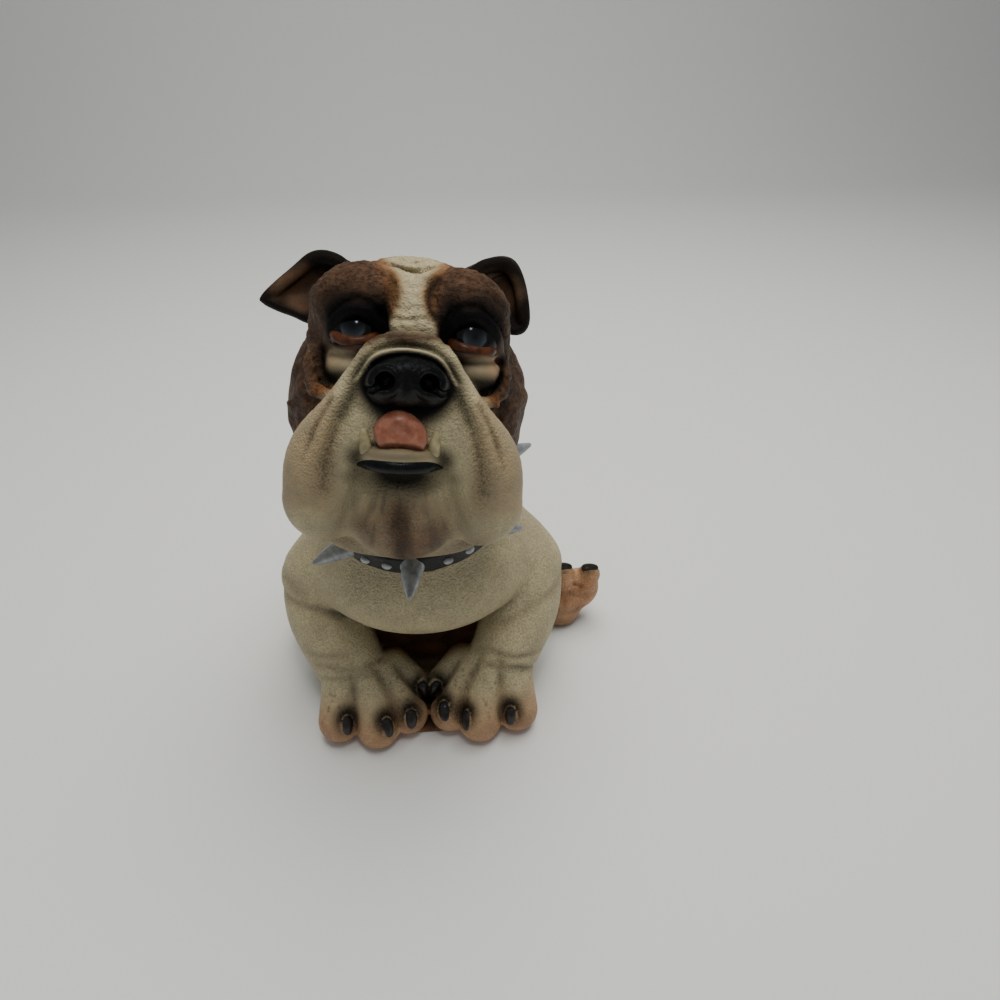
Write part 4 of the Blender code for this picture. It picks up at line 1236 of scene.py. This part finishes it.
def lip_band(material):
    """The wet black edge of the lower lip: a tube that follows it and thins out at the corners."""
    path = [(14.6, -31.2, -20.7), (8.2, -36.8, -20.8), (0, -38.4, -21.2)]
    path = mirrored(path, -1) + path[-2::-1]
    path = [(x + MOUTH_DRIFT, y, z) for x, y, z in path]
    points, faces = tube(path, [1.0, 2.3, 2.5, 2.4, 1.0], squash=0.9)
    return new_piece("lower_lip", from_head(points), faces, material)


def collar_band(material):
    """A rounded oblong profile turned about the neck, its edges a little uneven as cast."""
    half, rise = COLLAR_THICKNESS / 2, COLLAR_WIDTH / 2
    corner = np.linspace(0, 2 * np.pi, 40, endpoint=False)
    across = half * np.sign(np.cos(corner)) * np.abs(np.cos(corner)) ** 0.45
    up = rise * np.sign(np.sin(corner)) * np.abs(np.sin(corner)) ** 0.35
    turn = np.linspace(0, 2 * np.pi, 220, endpoint=False)[:, None]
    drift = 0.12 * np.sin(9 * turn) + 0.08 * np.sin(23 * turn + 1)
    radius = COLLAR_RADIUS + across[None] + 0.08 * np.sin(17 * turn)
    lift = up[None] * (1 + 0.03 * drift) + drift
    local = np.stack([radius * np.sin(turn), -radius * np.cos(turn), lift], -1)
    points = COLLAR_AT + local.reshape(-1, 3) @ COLLAR_TURN.T
    rows, columns = len(turn), len(corner)
    row, column = np.meshgrid(np.arange(rows), np.arange(columns), indexing="ij")
    here, beside_it = row * columns + column, row * columns + (column + 1) % columns
    after, after_beside = (here + columns) % (rows * columns), (beside_it + columns) % (rows * columns)
    faces = np.stack([here, beside_it, after_beside, after], -1).reshape(-1, 4)
    return new_piece("collar_strap", points, faces, material)


def spike_direction(angle, lift):
    out = (collar_point(angle, 1) - COLLAR_AT) * np.cos(np.radians(lift))
    return out + COLLAR_TURN[:, 2] * np.sin(np.radians(lift))


SPIKE_LENGTH = 19.0
SPIKE_RADIUS = 4.6


def spikes(material):
    """A cone's profile with a small flared foot and a blunt tip, turned about its own axis."""
    share = np.array([0.05, 0.14, 0.165, 0.19, 0.35, 0.5, 0.65, 0.8, 0.9, 0.95, 0.985, 1.0])
    radii = SPIKE_RADIUS * np.array([1.06, 1.06, 1.02, 0.95, 0.88, 0.77, 0.62, 0.43, 0.29, 0.22, 0.13, 0.02])
    parts = []
    for number, (angle, lift) in enumerate(SPIKES):
        points, faces = round_body(radii, share * SPIKE_LENGTH, 40)
        points = points * (1 + 0.03 * lattice_noise(points + 50 * number, 4.0, 31))[:, None] ** (1, 1, 0)
        root = collar_point(angle, COLLAR_RADIUS)
        parts.append((set_at(points, root, spike_direction(angle, lift)), faces))
    points, faces = gathered(parts)
    return new_piece("collar_spikes", points, faces, material)


def stud_angles():
    """A pair of studs in each gap between two spikes."""
    order = sorted(angle for angle, _ in SPIKES)
    for start, end in zip(order, order[1:] + [order[0] + 360]):
        for side in SIDES:
            yield (start + end) / 2 + side * STUD_PAIR_SPREAD


def studs(material):
    """Oval domes: a quarter round turned about the outward axis and narrowed."""
    turn = np.linspace(0, np.pi / 2, 8)
    parts = []
    for number, angle in enumerate(stud_angles()):
        radii = np.concatenate([[2.1], 2.1 * np.cos(turn[:-1]) ** 0.8, [0.1]])
        heights = np.concatenate([[-1.0], 1.5 * np.sin(turn)])
        points, faces = round_body(radii, heights, 24, squash=0.82)
        centre = collar_point(angle, COLLAR_RADIUS + COLLAR_THICKNESS / 2 - 0.1, 0.5 * np.sin(3.1 * number))
        parts.append((set_at(points, centre, spike_direction(angle, 0), COLLAR_TURN[:, 2]), faces))
    points, faces = gathered(parts)
    return new_piece("collar_studs", points, faces, material)


def claws(material):
    """An egg's profile, full near the root and narrowing to a blunt tip, turned about the claw's axis."""
    turn = np.linspace(0.05, np.pi - 0.02, 22)
    breadth, thickness, length = CLAW_SIZE
    heights = -length * np.cos(turn)
    radii = breadth * np.sin(turn) ** 0.8 * (1 - 0.10 * (heights / length + 1))
    parts = []
    for middle, axes in claw_places():
        points, faces = round_body(radii, heights, 32, squash=thickness / breadth)
        parts.append((points @ axes.T + middle, faces))
    points, faces = gathered(parts)
    return new_piece("claws", points, faces, material)


def above_collar(points):
    """Depth below the plane through the collar, so that the cut lies behind the strap."""
    return -((points - COLLAR_AT) @ COLLAR_TURN)[:, 2] - 2.0


def below_collar(points):
    return ((points - COLLAR_AT) @ COLLAR_TURN)[:, 2] - 2.0


def below_collar_above_floor(points):
    return np.maximum(below_collar(points), -points[:, 2])


def box_round(low, high):
    """The lowest and highest corners of the upright box round a box in the head's frame."""
    corners = from_head(np.array(np.meshgrid(*zip(low, high))).T.reshape(-1, 3))
    return corners.min(0), corners.max(0)


def build():
    coat = coat_paint()
    skin("head_skin", DOG, (-56, -76, 84), (58, 52, 204), HEAD_GRAIN, head_paint, coat,
         head_relief, above_collar)
    skin("body_skin", DOG, (-74, -72, -3), (96, 96, 120), BODY_GRAIN, body_paint, coat, None,
         below_collar_above_floor)
    for side, name, low, high in ((-1, "right_ear", (-64, 0, 20), (-18, 32, 62)),
                                  (1, "left_ear", (10, 0, 20), (52, 32, 64))):
        skin(name, EARS[side], *box_round(low, high), EAR_GRAIN, ear_paint(side), coat, rounds=6)
    eyeballs(eye_enamel())
    haws(varnished("varnished_rust_acrylic", "#331809", "#5c3117", 0.3))
    for name, clay, low, high, grain, material in (
        ("nose", nose_clay(), (-16, -50, -8), (16, -24, 18), NOSE_GRAIN, nose_enamel()),
        ("tongue", tongue_clay(), (-14, -46, -20), (11, -30, 1), TONGUE_GRAIN,
         varnished("varnished_salmon_acrylic", "#8a4f39", "#a8705a", 0.3)),
    ):
        points, quads = sculpt(clay.depth, *box_round(low, high), grain)
        new_piece(name, points, quads, material)
    fangs(varnished("ivory_acrylic", "#8d825f", "#b3a77f", 0.35))
    gloss_black = varnished("gloss_black_acrylic", "#070808", "#121314", 0.22, 0.0016, 0.6, 1.32)
    claw_black = varnished("satin_umber_black_acrylic", "#12100e", "#2b2621", 0.28, 0.002)
    lip_band(gloss_black)
    collar_band(band_paint())
    silver = silver_paint()
    spikes(silver)
    studs(silver)
    claws(claw_black)


def studio():
    """A pale sweep, a broad light overhead, a weak fill from the front and the camera of the photograph."""
    scene = bpy.context.scene
    width, front, back, rise = 3.0, -1.2, 0.9, 1.6
    bend = np.linspace(0, np.pi / 2, 14)
    run = np.concatenate([[front], back + 0.35 * np.sin(bend), [back + 0.35]])
    lift = np.concatenate([[0], 0.35 * (1 - np.cos(bend)), [rise]])
    points = np.concatenate([np.column_stack([np.full(len(run), x), run, lift]) for x in (-width, width)])
    count = len(run)
    faces = [[i, i + count, i + count + 1, i + 1] for i in range(count - 1)]
    mesh = bpy.data.meshes.new("table_and_backdrop")
    mesh.from_pydata(points, [], faces)
    mesh.polygons.foreach_set("use_smooth", np.ones(len(faces), bool))
    floor = bpy.data.objects.new("table_and_backdrop", mesh)
    scene.collection.objects.link(floor)
    material, _, _ = new_material("pale_matt_card", Base_Color=paint("#e8e8e3"), Roughness=0.8)
    mesh.materials.append(material)

    for name, place, size, power, colour in (
        ("overhead", (0.10, 0.14, 0.95), 0.8, 10.5, (1.0, 0.985, 0.96)),
        ("front_fill", (-0.5, -0.9, 0.55), 0.6, 0.6, (0.95, 0.98, 1.0)),
        ("window", (0.03, -0.28, 0.90), 0.09, 0.5, (0.95, 0.98, 1.0)),
    ):
        data = bpy.data.lights.new(name, "AREA")
        data.size, data.energy, data.color = size, power, colour
        light = bpy.data.objects.new(name, data)
        light.location = place
        light.visible_glossy = name == "window"
        light.rotation_euler = (Vector((0, 0, 0.09)) - Vector(place)).to_track_quat("-Z", "Y").to_euler()
        scene.collection.objects.link(light)
    world = bpy.data.worlds.new("studio")
    world.use_nodes = True
    world.node_tree.nodes["Background"].inputs["Color"].default_value = (0.9, 0.95, 1.0, 1)
    world.node_tree.nodes["Background"].inputs["Strength"].default_value = 0.22
    scene.world = world

    lens = bpy.data.cameras.new("camera")
    lens.sensor_width, lens.lens = 36.0, 26.64
    lens.clip_start = 0.01
    camera = bpy.data.objects.new("camera", lens)
    yaw, pitch = np.radians(4.6), np.radians(36.0)
    look = Vector((np.sin(yaw) * np.cos(pitch), np.cos(yaw) * np.cos(pitch), -np.sin(pitch)))
    camera.location = (0.0147, -0.2669, 0.2830)
    camera.rotation_euler = look.to_track_quat("-Z", "Y").to_euler()
    scene.collection.objects.link(camera)
    scene.camera = camera


build()
studio()

bpy.context.view_layer.update()
